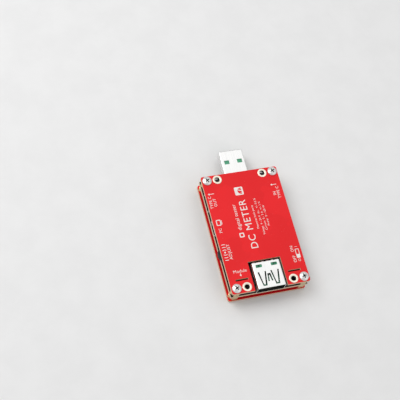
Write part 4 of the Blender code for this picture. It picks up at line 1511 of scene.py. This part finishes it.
def makeChips():
    look = chipLook
    # Bevel, and the dot's inset from the corner
    for node, paint, slotName, bevel, dotInset in (
            ("microcontroller", chipPlastic, "black_plastic", 0.08, 0.9),
            ("protocol_chip", chipPlastic, "black_plastic", 0.06, 0.9),
            ("regulator", chipPlastic, "black_plastic", 0.1, 0.55),
            ("shunt_resistor", chipPlastic, "black_plastic", 0.08, 0),
            ("crystal", portSteel, "shell_steel", 0.12, 0)):
        chipWithDot(node, paint, bevel, dotInset)
    inductor = cadCopy("inductor", "fine_inductor")
    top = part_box("inductor")[1].z
    recess = circle(look["coilRecess"] * mm, *middle("inductor").xy, 48)
    boolean(inductor, prism(recess, top - look["coilRecessDepth"] * mm, top + mm))
    roundEdges(inductor, 0.3 * mm, 3)
    finishPiece(inductor, ferriteGrey, meterBody, ["inductor"])

    fine = leadMesh("fineLead", look["leadWidth"] * mm, look["leadReach"] * mm, look["leadHeight"] * mm)
    places = sidePlaces("microcontroller", (0, 1, 2, 3), look["leadsPerSide"], look["leadPitch"] * mm)
    repeatPiece("chip_leads", fine, places, solder)
    wide = leadMesh("wideLead", look["wideLeadWidth"] * mm, look["wideLeadReach"] * mm,
                    look["wideLeadHeight"] * mm)
    pitch = look["wideLeadPitch"] * mm
    places = sidePlaces("regulator", (0,), 3, pitch) + sidePlaces("regulator", (2,), 1, pitch)
    repeatPiece("regulator_leads", wide, places, solder)
    outline = [(out * mm, up * mm) for out, up in look["shuntEnd"]]
    half = look["shuntHalf"] * mm
    endCap = roundEdges(meshObject("endCap", prism(outline, -half, half, matrix=alongY)), 0.05 * mm, 2)
    places = sidePlaces("shunt_resistor", (1, 3), 1, 1.0 * mm)
    repeatPiece("shunt_ends", endCap, places, solder)


makeChips()
print("chips made")


# ---- Small resistors and capacitors, scattered where the board is free

scatterLook = {
    "seed": 11, "resistors": 70, "capacitors": 34, "tries": 60,
    "margin": 0.35, "edge": 1.2, "grid": 0.25,
}


def freePlaces(count, length, width, chance, taken):
    # On a fine grid, clear of everything taken; what is placed is taken too
    look = scatterLook
    places = []
    margin, edge, grid = look["margin"] * mm, look["edge"] * mm, look["grid"] * mm
    for attempt in range(count * look["tries"]):
        if len(places) == count:
            break
        x = round(chance.uniform(boardLow.x + edge, boardHigh.x - edge) / grid) * look["grid"] * mm
        y = round(chance.uniform(boardLow.y + edge, boardHigh.y - edge) / grid) * look["grid"] * mm
        upright = chance.random() < 0.5
        halfX, halfY = (width / 2, length / 2) if upright else (length / 2, width / 2)
        box = (x - halfX - margin, y - halfY - margin, x + halfX + margin, y + halfY + margin)
        clear = all(box[2] < other[0] or box[0] > other[2] or box[3] < other[1] or box[1] > other[3]
                    for other in taken)
        if clear:
            taken.append(box)
            places.append((x, y, boardTop, 0, 0, pi / 2 if upright else 0))
    return places


def endCapsMesh(name, half, width, height):
    # Two plated ends, each with its fillet of solder
    bm = bmesh.new()
    for side in (-1, 1):
        end = side * half
        outline = [(end * 0.55, 0.01 * mm), (end * 1.45, 0.01 * mm), (end * 1.12, height * 0.6),
                   (end * 1.04, height * 1.04), (end * 0.55, height * 1.04)]
        joinInto(bm, prism(outline, -width * 0.53, width * 0.53, matrix=alongY))
    return roundEdges(meshObject(name, bm), 0.03 * mm, 1)


def makeScatter():
    look = scatterLook
    taken = []
    for node in nodes:
        low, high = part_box(node)
        if low.z < boardTop + 0.5 * mm and high.z > boardTop + 0.1 * mm and node != "main_board":
            reach = 1.1 * mm if node == "microcontroller" else 0.2 * mm
            taken.append((low.x - reach, low.y - reach, high.x + reach, high.y + reach))
    chance = Random(look["seed"])
    capPlaces = freePlaces(look["capacitors"], 1.6 * mm, 0.8 * mm, chance, taken)
    smallPlaces = freePlaces(look["resistors"], 1.0 * mm, 0.5 * mm, chance, taken)
    for name, places, half, width, height, paint in (
            ("capacitor", capPlaces, 0.8 * mm, 0.8 * mm, 0.7 * mm, capTan),
            ("resistor", smallPlaces, 0.5 * mm, 0.5 * mm, 0.34 * mm, chipPlastic)):
        body = block((-half, -width / 2, 0.03 * mm), (half, width / 2, height))
        template = roundEdges(meshObject(name, body), 0.03 * mm, 1)
        repeatPiece(f"{name}_bodies", template, places, paint)
        ends = endCapsMesh(name + "End", half, width, height)
        repeatPiece(f"{name}_ends", ends, places, solder)


# Radius and height of a mound
moundLook = {"profile": ((0.75, -0.01), (0.72, 0.05), (0.5, 0.16), (0.3, 0.42), (0.22, 0.6), (0, 0.62))}


def makeSolder():
    # Mounds round the legs that go through the board
    profile = [(radius * mm, height * mm) for radius, height in moundLook["profile"]]
    mound = meshObject("mound", turnedMesh(profile, 20))
    roundEdges(mound, 0)
    above, below = [], []
    for node in ("usb_c_in_shell", "usb_c_out_shell", "micro_usb_shell"):
        low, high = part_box(node)
        for x in (low.x + 1.6 * mm, high.x - 1.6 * mm):
            for y in (low.y - 0.02 * mm, high.y + 0.02 * mm):
                above.append((x, y, boardTop, 0, 0, 0))
    low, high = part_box("usb_a_socket_shell")
    for x in (low.x + 0.6 * mm, high.x - 0.6 * mm):
        for y in (high.y - 2.0 * mm, high.y - 8.5 * mm):
            below.append((x, y, boardBottom, pi, 0, 0))
    for number in range(4):
        below.append((middle(f"socket_contact_{number + 1}").x, high.y - 0.2 * mm, boardBottom, pi, 0, 0))
    repeatPiece("solder_mounds", mound, above + below, solder)


makeScatter()
makeSolder()


def makeBoardPrint():
    # White outlines round the chips, with a dot at the first lead
    bm = bmesh.new()
    for node, room in (("microcontroller", 1.25), ("protocol_chip", 0.4), ("inductor", 0.35),
                       ("crystal", 0.35), ("shunt_resistor", 0.6), ("regulator", 1.5)):
        size, centre = sizeOf(node) / mm, (middle(node) - panelCentre) / mm
        wide, long = size.x + 2 * room, size.y + 2 * room
        printShape(bm, rectangle(wide + 0.24, long + 0.24, centre.x, centre.y),
                   [rectangle(wide, long, centre.x, centre.y)])
        printShape(bm, circle(0.2, centre.x - wide / 2 + 0.4, centre.y + long / 2 - 0.4, 14))
    layInk("board_print", bm, boardTop, 1)


makeBoardPrint()
print("board parts made")


# ---- Floor, light and camera

stageLook = {
    "floor": (0.80, 0.80, 0.80), "floorSize": 3.0,
    "sky": 0.52, "key": 2.7, "fill": 0.5, "back": 0.8,
}


def makeStage():
    look = stageLook
    half = look["floorSize"] / 2
    bm = bmesh.new()
    bmesh.ops.create_grid(bm, x_segments=2, y_segments=2, size=half)
    floor = meshObject("floor", bm)
    floor.location.z = cadLow.z - 0.0002
    material, tree, shader = newMaterial("paleFloor")
    grain = useGroup(tree, grainGroup, Scale=500.0)
    painted = mixColour(tree, grain.outputs["Mask"], tuple(0.97 * c for c in look["floor"]), look["floor"])
    setSurface(tree, shader, painted, 0.75)
    floor.data.materials.append(material)

    world = bpy.data.worlds.new("studio")
    world.use_nodes = True
    world.node_tree.nodes["Background"].inputs["Color"].default_value = (1.0, 1.0, 1.0, 1.0)
    world.node_tree.nodes["Background"].inputs["Strength"].default_value = look["sky"]
    bpy.context.scene.world = world
    lamps = (("key", (-0.35, 0.25, 0.62), 0.5, look["key"]),
             ("fill", (0.45, -0.35, 0.45), 0.6, look["fill"]),
             ("back", (0.21, 0.31, 0.71), 0.62, look["back"]))
    for name, place, size, power in lamps:
        lamp = bpy.data.lights.new(name, 'AREA')
        lamp.shape = 'SQUARE'
        lamp.size = size
        lamp.energy = power
        item = newObject(name, lamp)
        item.location = place
        item.rotation_euler = (-Vector(place)).to_track_quat('-Z', 'Y').to_euler()


cameraLook = {
    "aim": (-0.0222, 0.0119, 0.0105), "distance": 0.4757,
    "azimuth": -34.52, "elevation": 62.85, "roll": -22.49, "lens": 91.1,
}


def makeCamera():
    look = cameraLook
    azimuth, elevation = radians(look["azimuth"]), radians(look["elevation"])
    back = Vector((sin(azimuth) * cos(elevation), -cos(azimuth) * cos(elevation), sin(elevation)))
    level = Vector((0, 0, 1)).cross(back).normalized()
    upright = back.cross(level)
    roll = radians(look["roll"])
    right = level * cos(roll) - upright * sin(roll)
    up = level * sin(roll) + upright * cos(roll)
    lens = bpy.data.cameras.new("camera")
    lens.lens = look["lens"]
    lens.sensor_width = 36.0
    camera = newObject("camera", lens)
    place = Vector(look["aim"]) + back * look["distance"]
    camera.matrix_world = Matrix.Translation(place) @ Matrix((right, up, back)).transposed().to_4x4()
    bpy.context.scene.camera = camera


makeStage()
makeCamera()
bpy.context.scene.view_settings.view_transform = 'Standard'
print("stage made")
